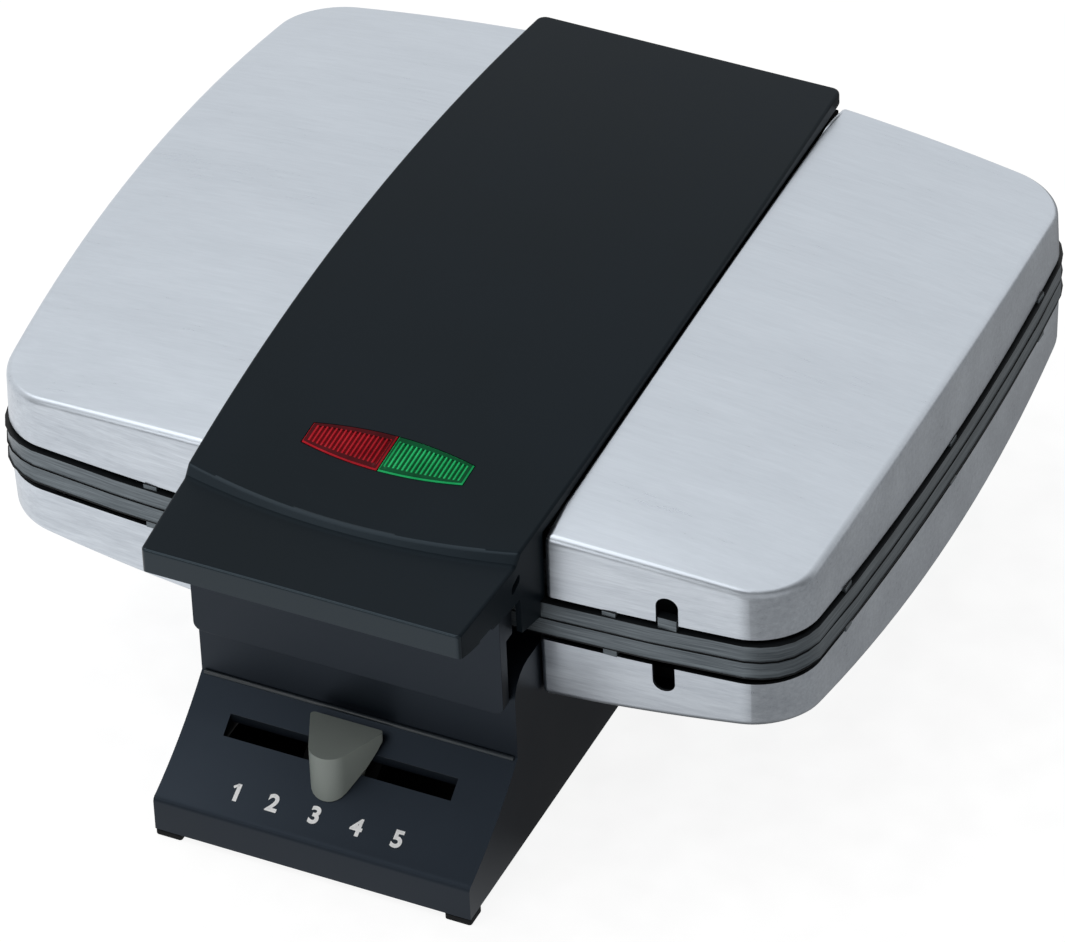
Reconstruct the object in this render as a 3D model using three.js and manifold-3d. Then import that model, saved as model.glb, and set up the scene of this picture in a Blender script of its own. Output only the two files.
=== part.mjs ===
// A countertop waffle maker for two deep Belgian waffles: hinged lid, steel covers, cast plates,
// and a console with a sliding heat control. Millimetres, +Z up, -Y is the handle side.
// Y is measured from the middle of the baking plates; the whole is centred on its box at the end.
import * as THREE from "three";
import { mergeVertices } from "three/addons/utils/BufferGeometryUtils.js";
import Module from "manifold-3d";

const wasm = await Module();
wasm.setup();

// Clearances and cuts
const gap = 0.3;
const overrun = 8;

// Body outline, shared by the plates and the steel covers
const bodyHalfWidth = 145;
const bodyHalfDepth = 121.8;
const frontBulge = 7;
const sideBulge = 4.8;
const bodyCornerRadius = 18.7;

// Heights of the stack
const footHeight = 2.4;
const partingZ = 84.6;
const flangeHeight = 6.4;
const upperRimGap = 2;
const lowerRimGap = 3.1;
const coverRise = 33.5;
const crownAcross = 8.6;
const crownAlong = 8.7;
const coverWall = 1;
const coverDraft = 0.8;
const coverEdgeRadius = 2.4;
const coverInnerEdgeRadius = 1.8;
const coverInnerCornerRadius = 4;
const coverSeam = 0.9;
const outerCrownShares = [0.75, 0.5, 0.25];
const innerCrownShares = [0.5];

// Inspection notches in the right-hand covers
const upperNotchX = 99;
const lowerNotchX = 97.3;
const notchWidth = 7.4;
const notchHeight = 10;
const tabPlay = 0.5;
const tabRise = 2.5;

// Baking plates
const flangeOverhang = 1.1;
const flangeSkirt = 2.6;
const flangeWeb = 2.6;
const plateInset = 10;
const plateSkin = 3;
const cavityDepth = 12;
const cellPitch = 26;
const cellsAcross = 4;
const cellsAlong = 6;
const cellFoot = 19.5;
const cellTip = 15;
const cellHeight = 9.4;
const cavityMargin = 1.5;
const cavityCentreX = 64;
const cavityDraft = 2;
const gridLedge = 4;
const lugWidth = 4.7;
const lugDepth = 3;
const frontLugX = 79.7;
const sideLugPitch = 78.5;

// Heating elements and their reflectors
const elementRadius = 3.2;
const elementInset = 30;
const elementBend = 22;
const elementGap = 34;
const trayInset = 13;
const traySheet = 0.8;
const trayLip = 4;
const trayDrop = 2;

// Base housing
const baseHalfWidth = 55.5;
const wall = 2.5;
const slopeRun = 37.6;
const lipTop = 14.9;
const lipRadius = 2;
const columnOffset = 16.6;
const creaseZ = 39.4;
const slopeSag = 2;
const shoulderZ = 62.5;
const shoulderRadius = 10;
const wellDepth = 11;

// Hinge at the rear
const hingeOffset = 7.7;
const knuckleRadius = 5.5;
const pinRadius = 2;
const pinHalfLength = 47;
const lidEarInner = 30;
const lidEarWidth = 8;
const baseEarWidth = 8;
const earGap = 0.5;

// Slider console
const scaleX = -1.4;
const slotHalfLength = 40;
const slotSetback = 8.5;
const slotWidth = 6;
const slideTravel = 31;
const knobTopZ = 39.6;
const knobSetback = 4.8;
const knobLength = 29.7;
const knobHalfWidth = 12.2;
const knobNoseRadius = 6.2;
const knobCornerRadius = 1.2;
const stemClearance = 0.6;
const carriageHalfLength = 13;
const carriageHalfDepth = 6.5;
const carriageBottomZ = 18;
const carriageClearance = 0.5;
const stemBottomZ = 23.8;
const railZ = 20.8;
const railRadius = 1.5;

// Thermostat and the lever that the slider turns
const leverArm = 60;
const leverZ = 12.6;
const leverThickness = 2;
const leverPinRadius = 2;
const leverSlotWidth = 6.6;
const leverWidth = 12;
const spindleRadius = 3;
const thermostatWidth = 34;
const thermostatDepth = 26;
const thermostatHeight = 15;
const spindleSeat = 6;
const sensorRadius = 4;
const sensorShift = 8;

// Bottom cover, feet, screws, terminals and cord bushing
const coverPlate = 2.2;
const footLength = 9.2;
const footDepth = 8;
const footPegRadius = 1.8;
const footPegHeight = 4.6;
const bossRadius = 4.5;
const bossSideInset = 9.5;
const bossFrontInset = 18;
const bossRearInset = 19;
const bossHeight = 13;
const screwRadius = 1.5;
const screwHeadRadius = 3.4;
const screwHeadHeight = 1.6;
const screwLength = 12;
const ventWidth = 3;
const ventLength = 34;
const ventPitch = 8;
const ventCount = 7;
const ventY = 60;
const bushingX = -30;
const bushingZ = 22;
const bushingBore = 3.4;
const bushingRadius = 5.4;
const bushingFlangeRadius = 8;
const bushingFlange = 1.9;
const bushingInside = 5;
const terminalX = -22;
const terminalInset = 51;
const terminalWidth = 32;
const terminalDepth = 17;
const terminalHeight = 14;
const terminalPitch = 10;
const terminalBore = 2.2;

// Lid cover with its handle
const strapEndHalfWidth = 54.7;
const strapSideBulge = 5.6;
const handleOffset = 33.8;
const strapBackInset = 0.7;
const strapFrontRadius = 1.5;
const strapBackRadius = 3;
const crestZ = 127.3;
const crestY = 3.8;
const archFall = 11.6;
const strapEdge = 1.2;
const strapSkin = 2.4;
const strapCrownShares = [0.8, 0.6, 0.4, 0.2];
const stepSetback = 30.7;
const stepSag = 6.7;
const stepDrop = 2.5;
const stepRun = 2.6;
const handleTopZ = 115.5;
const handleEdgeZ = 106.4;
const handleEdgeRun = 37.4;
const handleEdgeDrop = 3.9;
const handleEdgeShares = [[0, 0], [0.14, 0.33], [0.29, 0.54], [0.46, 0.69], [0.73, 0.95], [1, 1]];
const cheekLap = 2.3;
const cheekBottomZ = 92;
const postRadius = 4;
const postX = 38;
const postYs = [-62, 96];

// Apron under the handle
const apronOffset = 5.7;
const apronHalfWidth = 54.1;
const apronBottomZ = 61;
const apronDepth = 4.4;
const apronSkin = 2.2;
const apronReturn = 8.8;
const apronReturnZ = 88;
const apronCornerRadius = 3;

// Indicator lenses and lamps
const lensSetback = 63.6;
const lensHalfLength = 27.8;
const lensEndWidth = 9;
const lensBulge = 3.6;
const lensProud = 0.4;
const lensThickness = 3.2;
const lensRibs = 9;
const lensRibDepth = 0.8;
const lensFrame = 2;
const lampRadius = 3;
const lampLength = 12;
const lampDrop = 1.2;
const holderHalfLength = 26;
const holderDepth = 12;
const holderThickness = 2.4;

// Lid frame
const frameHalfWidth = 54.6;
const frameWall = 2.2;
const frameDeckZ = 113;
const frameFrontInset = 3.8;
const frameRearInset = 3.2;
const lampRoom = 16.6;
const frameSpar = 3;

// Facets: segments of an arc, of a side and of a round
const sideSteps = 8;
const cornerSteps = 5;
const roundSides = 20;
const thinSides = 12;
const tubeSides = 7;
const tubeSteps = 84;
const edgeSteps = 3;
const weldTolerance = 1e-4;

// Derived sizes
const outlineX = bodyHalfWidth - sideBulge;
const outlineY = bodyHalfDepth - frontBulge;
const frontCurve = frontBulge / outlineX ** 2;
const columnReach = bodyHalfDepth + columnOffset;
const lipReach = columnReach + slopeRun;
const slotBack = columnReach + slotSetback;
const slotFront = slotBack + slotWidth;
const knobBack = columnReach + knobSetback;
const knobApexReach = knobBack + knobLength;
const apronReach = columnReach + apronOffset;
const strapFront = columnReach + handleOffset;
const strapBack = bodyHalfDepth - strapBackInset;
const stepReach = strapFront - stepSetback;
const cheekReach = bodyHalfDepth - cheekLap;
const lensCentreY = lensSetback - strapFront;
const frameFront = bodyHalfDepth - frameFrontInset;
const frameRear = bodyHalfDepth - frameRearInset;
const deckFront = -lensCentreY - lampRoom;
const hingeReach = bodyHalfDepth + hingeOffset;
const rearReach = hingeReach + knuckleRadius;
const bossFront = lipReach - bossFrontInset;
const bossRear = rearReach - bossRearInset;
const bossX = baseHalfWidth - bossSideInset;
const terminalY = rearReach - terminalInset;
const archSpan = strapFront + crestY;
const archRadius = (archSpan ** 2 + archFall ** 2) / (2 * archFall);
const strapMiddle = (strapBack - strapFront) / 2;
const strapHalfLength = (strapBack + strapFront) / 2;
const upperRimZ = partingZ + flangeHeight + upperRimGap;
const lowerRimZ = partingZ - flangeHeight - lowerRimGap;
const platesBack = cavityDepth + plateSkin;
const cavityX = cellsAcross * cellPitch + 2 * cavityMargin;
const cavityY = cellsAlong * cellPitch + 2 * cavityMargin;
const slopeStart = new THREE.Vector2(-lipReach, lipTop);
const slopeEnd = new THREE.Vector2(-columnReach, creaseZ);
const columnTopZ = shoulderZ + shoulderRadius;
const seatZ = partingZ - gap / 2 - platesBack - gap;
const wellZ = seatZ - wellDepth;
const seatReach = bodyHalfDepth - trayInset + gap;
const lowerTrayZ = wellZ + gap;
const lowerElementZ = seatZ - elementRadius;
const upperElementZ = partingZ + gap / 2 + platesBack + gap + elementRadius;
const upperTrayZ = upperElementZ + elementRadius + trayDrop + traySheet;

// Points of a closed outline, anticlockwise, whose sides bulge outwards and whose corners are rounded
function outline(corners, bulges, radii, steps = sideSteps, rounds = cornerSteps) {
  const count = corners.length;
  const sides = corners.map(([x, y], i) => {
    const [nextX, nextY] = corners[(i + 1) % count];
    const start = new THREE.Vector2(x, y);
    const chord = new THREE.Vector2(nextX - x, nextY - y);
    const outward = new THREE.Vector2(chord.y, -chord.x).normalize();
    const at = (t) =>
      start.clone().addScaledVector(chord, t).addScaledVector(outward, 4 * bulges[i] * t * (1 - t));
    const heading = (t) =>
      chord.clone().addScaledVector(outward, 4 * bulges[i] * (1 - 2 * t)).normalize();
    return { at, heading, length: chord.length(), steps: bulges[i] === 0 ? 1 : steps };
  });
  const turns = sides.map((side, i) => {
    const before = sides[(i + count - 1) % count];
    return Math.acos(THREE.MathUtils.clamp(before.heading(1).dot(side.heading(0)), -1, 1));
  });
  const trims = turns.map((turn, i) => radii[i] * Math.tan(turn / 2));
  const points = [];
  sides.forEach((side, i) => {
    const next = (i + 1) % count;
    const from = trims[i] / side.length;
    const to = 1 - trims[next] / side.length;
    for (let k = 0; k <= side.steps; k++) points.push(side.at(from + ((to - from) * k) / side.steps));
    if (radii[next] === 0) {
      points.pop();
      return;
    }
    const after = sides[next];
    const a = side.at(to);
    const d = after.at(trims[next] / after.length);
    const reach = (4 / 3) * Math.tan(turns[next] / 4) * radii[next];
    const b = a.clone().addScaledVector(side.heading(to), reach);
    const c = d.clone().addScaledVector(after.heading(0), -reach);
    const bend = new THREE.CubicBezierCurve(a, b, c, d);
    for (let k = 1; k < rounds; k++) points.push(bend.getPoint(k / rounds));
  });
  return points;
}

// The body's plan, drawn in by an inset
function bodyOutline(inset, steps = sideSteps) {
  const x = outlineX - inset;
  const y = outlineY - inset;
  const corners = [[-x, -y], [x, -y], [x, y], [-x, y]];
  const radius = bodyCornerRadius - inset;
  return outline(corners, [frontBulge, sideBulge, frontBulge, sideBulge], Array(4).fill(radius), steps);
}

function roundedBox(halfX, halfY, radius, centreX = 0, centreY = 0) {
  const corners = [
    [centreX - halfX, centreY - halfY],
    [centreX + halfX, centreY - halfY],
    [centreX + halfX, centreY + halfY],
    [centreX - halfX, centreY + halfY],
  ];
  return outline(corners, [0, 0, 0, 0], Array(4).fill(radius), 1, edgeSteps);
}

// The half-width of the strap at a given Y
function strapHalfWidth(y) {
  const share = (y - strapMiddle) / strapHalfLength;
  return strapEndHalfWidth + strapSideBulge * (1 - share ** 2);
}

function archZ(y) {
  return crestZ - archRadius + Math.sqrt(archRadius ** 2 - (y - crestY) ** 2);
}

// How far the crown of a steel cover has fallen at a point
function crownFall(x, y) {
  return crownAcross * (x / bodyHalfWidth) ** 2 + crownAlong * (y / bodyHalfDepth) ** 2;
}

// The slope of the console is a shallow hollow arc between the lip and the crease
const slopeChord = slopeEnd.clone().sub(slopeStart);
const slopeRadius = (slopeChord.length() ** 2 / 4 + slopeSag ** 2) / (2 * slopeSag);
const slopeCentre = slopeStart
  .clone()
  .add(slopeEnd)
  .multiplyScalar(1 / 2)
  .addScaledVector(new THREE.Vector2(-slopeChord.y, slopeChord.x).normalize(), slopeRadius - slopeSag);
function slopeZ(y, depth = 0) {
  return slopeCentre.y - Math.sqrt((slopeRadius + depth) ** 2 - (y - slopeCentre.x) ** 2);
}
function slopeLine(fromY, toY, depth = 0, steps = sideSteps) {
  const points = [];
  for (let k = 0; k <= steps; k++) {
    const y = fromY + ((toY - fromY) * k) / steps;
    points.push([y, slopeZ(y, depth)]);
  }
  return points;
}

// A closed skin through rings of the same number of points, with a fan over each end
function skin(rings) {
  const size = rings[0].length;
  const vertices = [];
  const indices = [];
  const middle = (ring) =>
    ring.reduce((sum, p) => sum.add(p), new THREE.Vector3()).divideScalar(size);
  rings.forEach((ring) => ring.forEach((p) => vertices.push(p.x, p.y, p.z)));
  for (let k = 0; k + 1 < rings.length; k++)
    for (let i = 0; i < size; i++) {
      const j = (i + 1) % size;
      const low = k * size;
      const high = low + size;
      indices.push(low + i, low + j, high + j, low + i, high + j, high + i);
    }
  const first = rings.length * size;
  const last = first + 1;
  const start = middle(rings[0]);
  const end = middle(rings[rings.length - 1]);
  vertices.push(start.x, start.y, start.z, end.x, end.y, end.z);
  const top = (rings.length - 1) * size;
  for (let i = 0; i < size; i++) {
    const j = (i + 1) % size;
    indices.push(first, j, i, last, top + i, top + j);
  }
  const geometry = new THREE.BufferGeometry();
  geometry.setAttribute("position", new THREE.Float32BufferAttribute(vertices, 3));
  geometry.setIndex(indices);
  return solid(geometry);
}

// Geometry to solid and back
function solid(geometry) {
  const plain = geometry.clone();
  plain.deleteAttribute("normal");
  plain.deleteAttribute("uv");
  const merged = mergeVertices(plain, weldTolerance);
  const mesh = new wasm.Mesh({
    numProp: 3,
    vertProperties: new Float32Array(merged.attributes.position.array),
    triVerts: new Uint32Array(merged.index.array),
  });
  return new wasm.Manifold(mesh);
}
function geometryOf(body) {
  const mesh = body.getMesh();
  const geometry = new THREE.BufferGeometry();
  geometry.setAttribute("position", new THREE.BufferAttribute(mesh.vertProperties, 3));
  geometry.setIndex(new THREE.BufferAttribute(mesh.triVerts, 1));
  return geometry;
}

function shapeOf(points) {
  return new THREE.Shape(points.map((p) => (Array.isArray(p) ? new THREE.Vector2(...p) : p)));
}
// A plan outline raised from z0 to z1
function raise(points, z0, z1) {
  const geometry = new THREE.ExtrudeGeometry(shapeOf(points), { depth: z1 - z0, bevelEnabled: false });
  return solid(geometry.translate(0, 0, z0));
}
// A side profile in (y, z) drawn out along X
function drawX(points, x0, x1) {
  const geometry = new THREE.ExtrudeGeometry(shapeOf(points), { depth: x1 - x0, bevelEnabled: false });
  const turn = new THREE.Matrix4().makeBasis(
    new THREE.Vector3(0, 1, 0),
    new THREE.Vector3(0, 0, 1),
    new THREE.Vector3(1, 0, 0),
  );
  return solid(geometry.applyMatrix4(turn).translate(x0, 0, 0));
}
// A front profile in (x, z) drawn out along Y
function drawY(points, y0, y1) {
  const geometry = new THREE.ExtrudeGeometry(shapeOf(points), { depth: y1 - y0, bevelEnabled: false });
  return solid(geometry.rotateX(Math.PI / 2).translate(0, y1, 0));
}
function block(x0, x1, y0, y1, z0, z1) {
  const geometry = new THREE.BoxGeometry(x1 - x0, y1 - y0, z1 - z0);
  return solid(geometry.translate((x0 + x1) / 2, (y0 + y1) / 2, (z0 + z1) / 2));
}
function rod(radius, from, to, sides = roundSides) {
  const a = new THREE.Vector3(...from);
  const b = new THREE.Vector3(...to);
  const along = b.clone().sub(a);
  const geometry = new THREE.CylinderGeometry(radius, radius, along.length(), sides);
  const turn = new THREE.Quaternion().setFromUnitVectors(
    new THREE.Vector3(0, 1, 0),
    along.clone().normalize(),
  );
  geometry.applyQuaternion(turn).translate(...a.add(b).divideScalar(2).toArray());
  return solid(geometry);
}
function join(...bodies) {
  return bodies.reduce((sum, body) => sum.add(body));
}
function cut(body, ...tools) {
  return tools.reduce((sum, tool) => sum.subtract(tool), body);
}

// Materials
const finish = (color, roughness, metalness) => () =>
  new THREE.MeshStandardMaterial({ color, roughness, metalness });
const brushedSteel = finish("#c8cfd6", 0.35, 1);
const castAluminium = finish("#666e74", 0.6, 0.6);
const blackPlastic = finish("#22272b", 0.5, 0);
const rubber = finish("#1a1c1e", 0.85, 0);
const taupePlastic = finish("#7d7b72", 0.45, 0);
const redLens = finish("#b3101f", 0.2, 0);
const greenLens = finish("#17b050", 0.2, 0);
const zincSteel = finish("#a9adb0", 0.4, 1);
const sheathSteel = finish("#4d4a46", 0.55, 0.9);
const ivoryPlastic = finish("#d8d2c0", 0.5, 0);
const lampGlass = finish("#e8c9a8", 0.1, 0);

const assembly = new THREE.Group();
function place(name, body, material) {
  const mesh = new THREE.Mesh(geometryOf(body), material());
  mesh.name = name;
  assembly.add(mesh);
  return mesh;
}

// A steel cover over one half of the body, as a shell that opens at the rim.
// side is 1 for the right half, rise is 1 above the plates and -1 below them.
function steelCover(side, rise) {
  const upper = rise > 0;
  const rimZ = upper ? upperRimZ : lowerRimZ;
  const innerEdge = (y) => (upper ? strapHalfWidth(y) + coverSeam : baseHalfWidth + gap);
  const plan = (inset, innerInset) => {
    const outerX = outlineX - inset;
    const outerY = outlineY - inset;
    const frontAt = (x) => outerY + frontCurve * (outerX ** 2 - x ** 2);
    const innerFront = innerEdge(-outerY) + innerInset;
    const innerBack = innerEdge(outerY) + innerInset;
    const corners = [
      [innerFront, -frontAt(innerFront)],
      [outerX, -outerY],
      [outerX, outerY],
      [innerBack, frontAt(innerBack)],
    ];
    const middle = innerEdge(0) + innerInset - (innerFront + innerBack) / 2;
    const bulges = [
      frontCurve * ((outerX - innerFront) / 2) ** 2,
      sideBulge,
      frontCurve * ((outerX - innerBack) / 2) ** 2,
      -middle,
    ];
    const outerRadius = bodyCornerRadius - inset;
    const radii = [coverInnerCornerRadius, outerRadius, outerRadius, coverInnerCornerRadius];
    return outline(corners, bulges, radii);
  };
  const ring = (points, heightAt) =>
    points.map((p) => new THREE.Vector3(p.x * side, p.y, rimZ + rise * heightAt(p)));
  const topAt = (p) => coverRise - crownFall(p.x, p.y);
  const shrunk = (points, share) => {
    const centre = points
      .reduce((sum, p) => sum.add(p), new THREE.Vector2())
      .divideScalar(points.length);
    return points.map((p) => p.clone().sub(centre).multiplyScalar(share).add(centre));
  };
  const surface = (skinInset, crownShares, steps) => {
    const rings = [ring(plan(skinInset, skinInset), () => 0)];
    for (let k = 0; k <= steps; k++) {
      const angle = ((Math.PI / 2) * k) / steps;
      const drawn = 1 - Math.cos(angle);
      const lowered = 1 - Math.sin(angle);
      const outer = skinInset + coverDraft + coverEdgeRadius * drawn;
      const inner = skinInset + coverInnerEdgeRadius * drawn;
      rings.push(ring(plan(outer, inner), (p) => topAt(p) - skinInset - coverEdgeRadius * lowered));
    }
    const top = plan(
      skinInset + coverDraft + coverEdgeRadius,
      skinInset + coverInnerEdgeRadius,
    );
    crownShares.forEach((share) => rings.push(ring(shrunk(top, share), (p) => topAt(p) - skinInset)));
    return rings;
  };
  const outside = surface(0, outerCrownShares, edgeSteps);
  const inside = surface(coverWall, innerCrownShares, 1).reverse();
  const rings = [...inside, ...outside];
  if (side * rise < 0) rings.reverse();
  // The plate, the element and the tray run through under the strap, so the inner wall is cut away there
  const passZ = upper ? upperTrayZ + gap : lowerTrayZ - gap;
  const passReach = bodyHalfDepth - plateInset + gap;
  const passX = innerEdge(0) + coverWall + coverInnerCornerRadius;
  const shell = cut(
    skin(rings),
    block(
      side > 0 ? 0 : -passX,
      side > 0 ? passX : 0,
      -passReach,
      passReach,
      upper ? rimZ - overrun : passZ,
      upper ? passZ : rimZ + overrun,
    ),
  );
  if (side < 0) return shell;
  const half = notchWidth / 2;
  const notchX = upper ? upperNotchX : lowerNotchX;
  const notch = [
    [notchX - half, rimZ - rise * overrun],
    [notchX + half, rimZ - rise * overrun],
    [notchX + half, rimZ + rise * (notchHeight - half)],
  ];
  for (let k = 1; k < cornerSteps; k++) {
    const angle = (Math.PI * k) / cornerSteps;
    notch.push([
      notchX + half * Math.cos(angle),
      rimZ + rise * (notchHeight - half + half * Math.sin(angle)),
    ]);
  }
  notch.push([notchX - half, rimZ + rise * (notchHeight - half)]);
  return cut(shell, drawY(notch, -bodyHalfDepth - overrun, -bodyHalfDepth + overrun + frontBulge));
}

// A four-sided block that narrows towards its end, standing on z = 0
function taperedBlock(footX, footY, tipX, tipY, height, centreX, centreY) {
  const rectangle = (x, y, z) => [
    new THREE.Vector3(centreX - x / 2, centreY - y / 2, z),
    new THREE.Vector3(centreX + x / 2, centreY - y / 2, z),
    new THREE.Vector3(centreX + x / 2, centreY + y / 2, z),
    new THREE.Vector3(centreX - x / 2, centreY + y / 2, z),
  ];
  return skin([rectangle(footX, footY, 0), rectangle(tipX, tipY, height)]);
}

// The frame of a baking plate, lying face up with its parting face at z = 0, with a window for each grid
// and a thin skirt all round
function bakingPlate(rimGap, tabbed) {
  const rim = raise(bodyOutline(-flangeOverhang), -flangeHeight, 0);
  const hollow = raise(bodyOutline(flangeSkirt - flangeOverhang), -flangeHeight - overrun, -flangeWeb);
  const body = raise(bodyOutline(plateInset), -platesBack, -gap);
  const windows = [-cavityCentreX, cavityCentreX].flatMap((x) => {
    const mouth = taperedBlock(
      cavityX,
      cavityY,
      cavityX + 2 * cavityDraft,
      cavityY + 2 * cavityDraft,
      cavityDepth + overrun,
      x,
      0,
    );
    const halfX = cavityX / 2 + gridLedge;
    const halfY = cavityY / 2 + gridLedge;
    const seat = block(x - halfX, x + halfX, -halfY, halfY, -platesBack - overrun, -cavityDepth);
    return [mouth.translate([0, 0, -cavityDepth]), seat];
  });
  const plate = cut(join(cut(rim, hollow), body), ...windows);
  const lugTop = -flangeHeight + gap;
  const lugBottom = -flangeHeight - rimGap + gap;
  const frontEdge = bodyHalfDepth - frontCurve * frontLugX ** 2;
  const lugs = [];
  [-1, 1].forEach((end) =>
    [-1, 1].forEach((hand) => {
      const x = hand * frontLugX;
      const y0 = Math.min(end * frontEdge, end * (frontEdge - lugDepth));
      lugs.push(
        block(x - lugWidth / 2, x + lugWidth / 2, y0, y0 + lugDepth, lugBottom, lugTop),
      );
    }),
  );
  if (tabbed) {
    const half = notchWidth / 2 - tabPlay;
    const edge = bodyHalfDepth - frontCurve * upperNotchX ** 2;
    // The upper plate is turned over about X, so its tab stands at the far side here
    lugs.push(
      block(
        upperNotchX - half,
        upperNotchX + half,
        edge - lugDepth,
        edge,
        lugBottom - tabRise,
        lugTop,
      ),
    );
  }
  [-1, 1].forEach((hand) =>
    [-1, 0, 1].forEach((step) => {
      const y = step * sideLugPitch;
      const edge = bodyHalfWidth - sideBulge * (y / outlineY) ** 2;
      const x0 = Math.min(hand * edge, hand * (edge - lugDepth));
      lugs.push(block(x0, x0 + lugDepth, y - lugWidth / 2, y + lugWidth / 2, lugBottom, lugTop));
    }),
  );
  return join(plate, ...lugs);
}

// A waffle grid, which fills a window of the frame from behind: a floor with rows of tapered cells
function waffleGrid(x) {
  const halfX = cavityX / 2 + gridLedge - gap;
  const halfY = cavityY / 2 + gridLedge - gap;
  const floorTop = -cavityDepth - gap;
  const cells = [];
  for (let i = 0; i < cellsAcross; i++)
    for (let j = 0; j < cellsAlong; j++) {
      const cellX = x + (i - (cellsAcross - 1) / 2) * cellPitch;
      const cellY = (j - (cellsAlong - 1) / 2) * cellPitch;
      const cell = taperedBlock(cellFoot, cellFoot, cellTip, cellTip, cellHeight + 2 * gap, cellX, cellY);
      cells.push(cell.translate([0, 0, floorTop - gap]));
    }
  return join(block(x - halfX, x + halfX, -halfY, halfY, -platesBack, floorTop), ...cells);
}

// A tubular element that runs round under both waffles, with its two leads towards the rear
function heatingElement(z, leadZ) {
  const x = bodyHalfWidth - elementInset;
  const y = bodyHalfDepth - elementInset;
  const r = elementBend;
  const lead = elementGap / 2;
  const path = new THREE.CurvePath();
  const line = (a, b) => path.add(new THREE.LineCurve3(new THREE.Vector3(...a), new THREE.Vector3(...b)));
  const bend = (a, b, c) =>
    path.add(
      new THREE.QuadraticBezierCurve3(
        new THREE.Vector3(...a),
        new THREE.Vector3(...b),
        new THREE.Vector3(...c),
      ),
    );
  const half = (hand) => [
    [hand * lead, y, leadZ],
    [hand * (lead + r / 2), y, z],
    [hand * (x - r), y, z],
    [hand * x, y, z],
    [hand * x, y - r, z],
    [hand * x, r - y, z],
    [hand * x, -y, z],
    [hand * (x - r), -y, z],
  ];
  const right = half(1);
  const left = half(-1);
  line(right[0], right[1]);
  line(right[1], right[2]);
  bend(right[2], right[3], right[4]);
  line(right[4], right[5]);
  bend(right[5], right[6], right[7]);
  line(right[7], left[7]);
  bend(left[7], left[6], left[5]);
  line(left[5], left[4]);
  bend(left[4], left[3], left[2]);
  line(left[2], left[1]);
  line(left[1], left[0]);
  const section = new THREE.Shape();
  for (let k = 0; k < tubeSides; k++) {
    const angle = (2 * Math.PI * k) / tubeSides;
    const point = [elementRadius * Math.cos(angle), elementRadius * Math.sin(angle)];
    if (k === 0) section.moveTo(...point);
    else section.lineTo(...point);
  }
  const geometry = new THREE.ExtrudeGeometry(section, { steps: tubeSteps, extrudePath: path });
  return solid(geometry);
}

// A reflector tray with a turned-over lip; z is the level of its outer face
function reflectorTray(z, rise) {
  const low = rise > 0 ? z : z - trayLip;
  const outer = raise(bodyOutline(trayInset, cornerSteps), low, low + trayLip);
  const hollowLow = rise > 0 ? low + traySheet : low - overrun;
  const hollowHigh = rise > 0 ? low + trayLip + overrun : low + trayLip - traySheet;
  return cut(outer, raise(bodyOutline(trayInset + traySheet, cornerSteps), hollowLow, hollowHigh));
}

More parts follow.
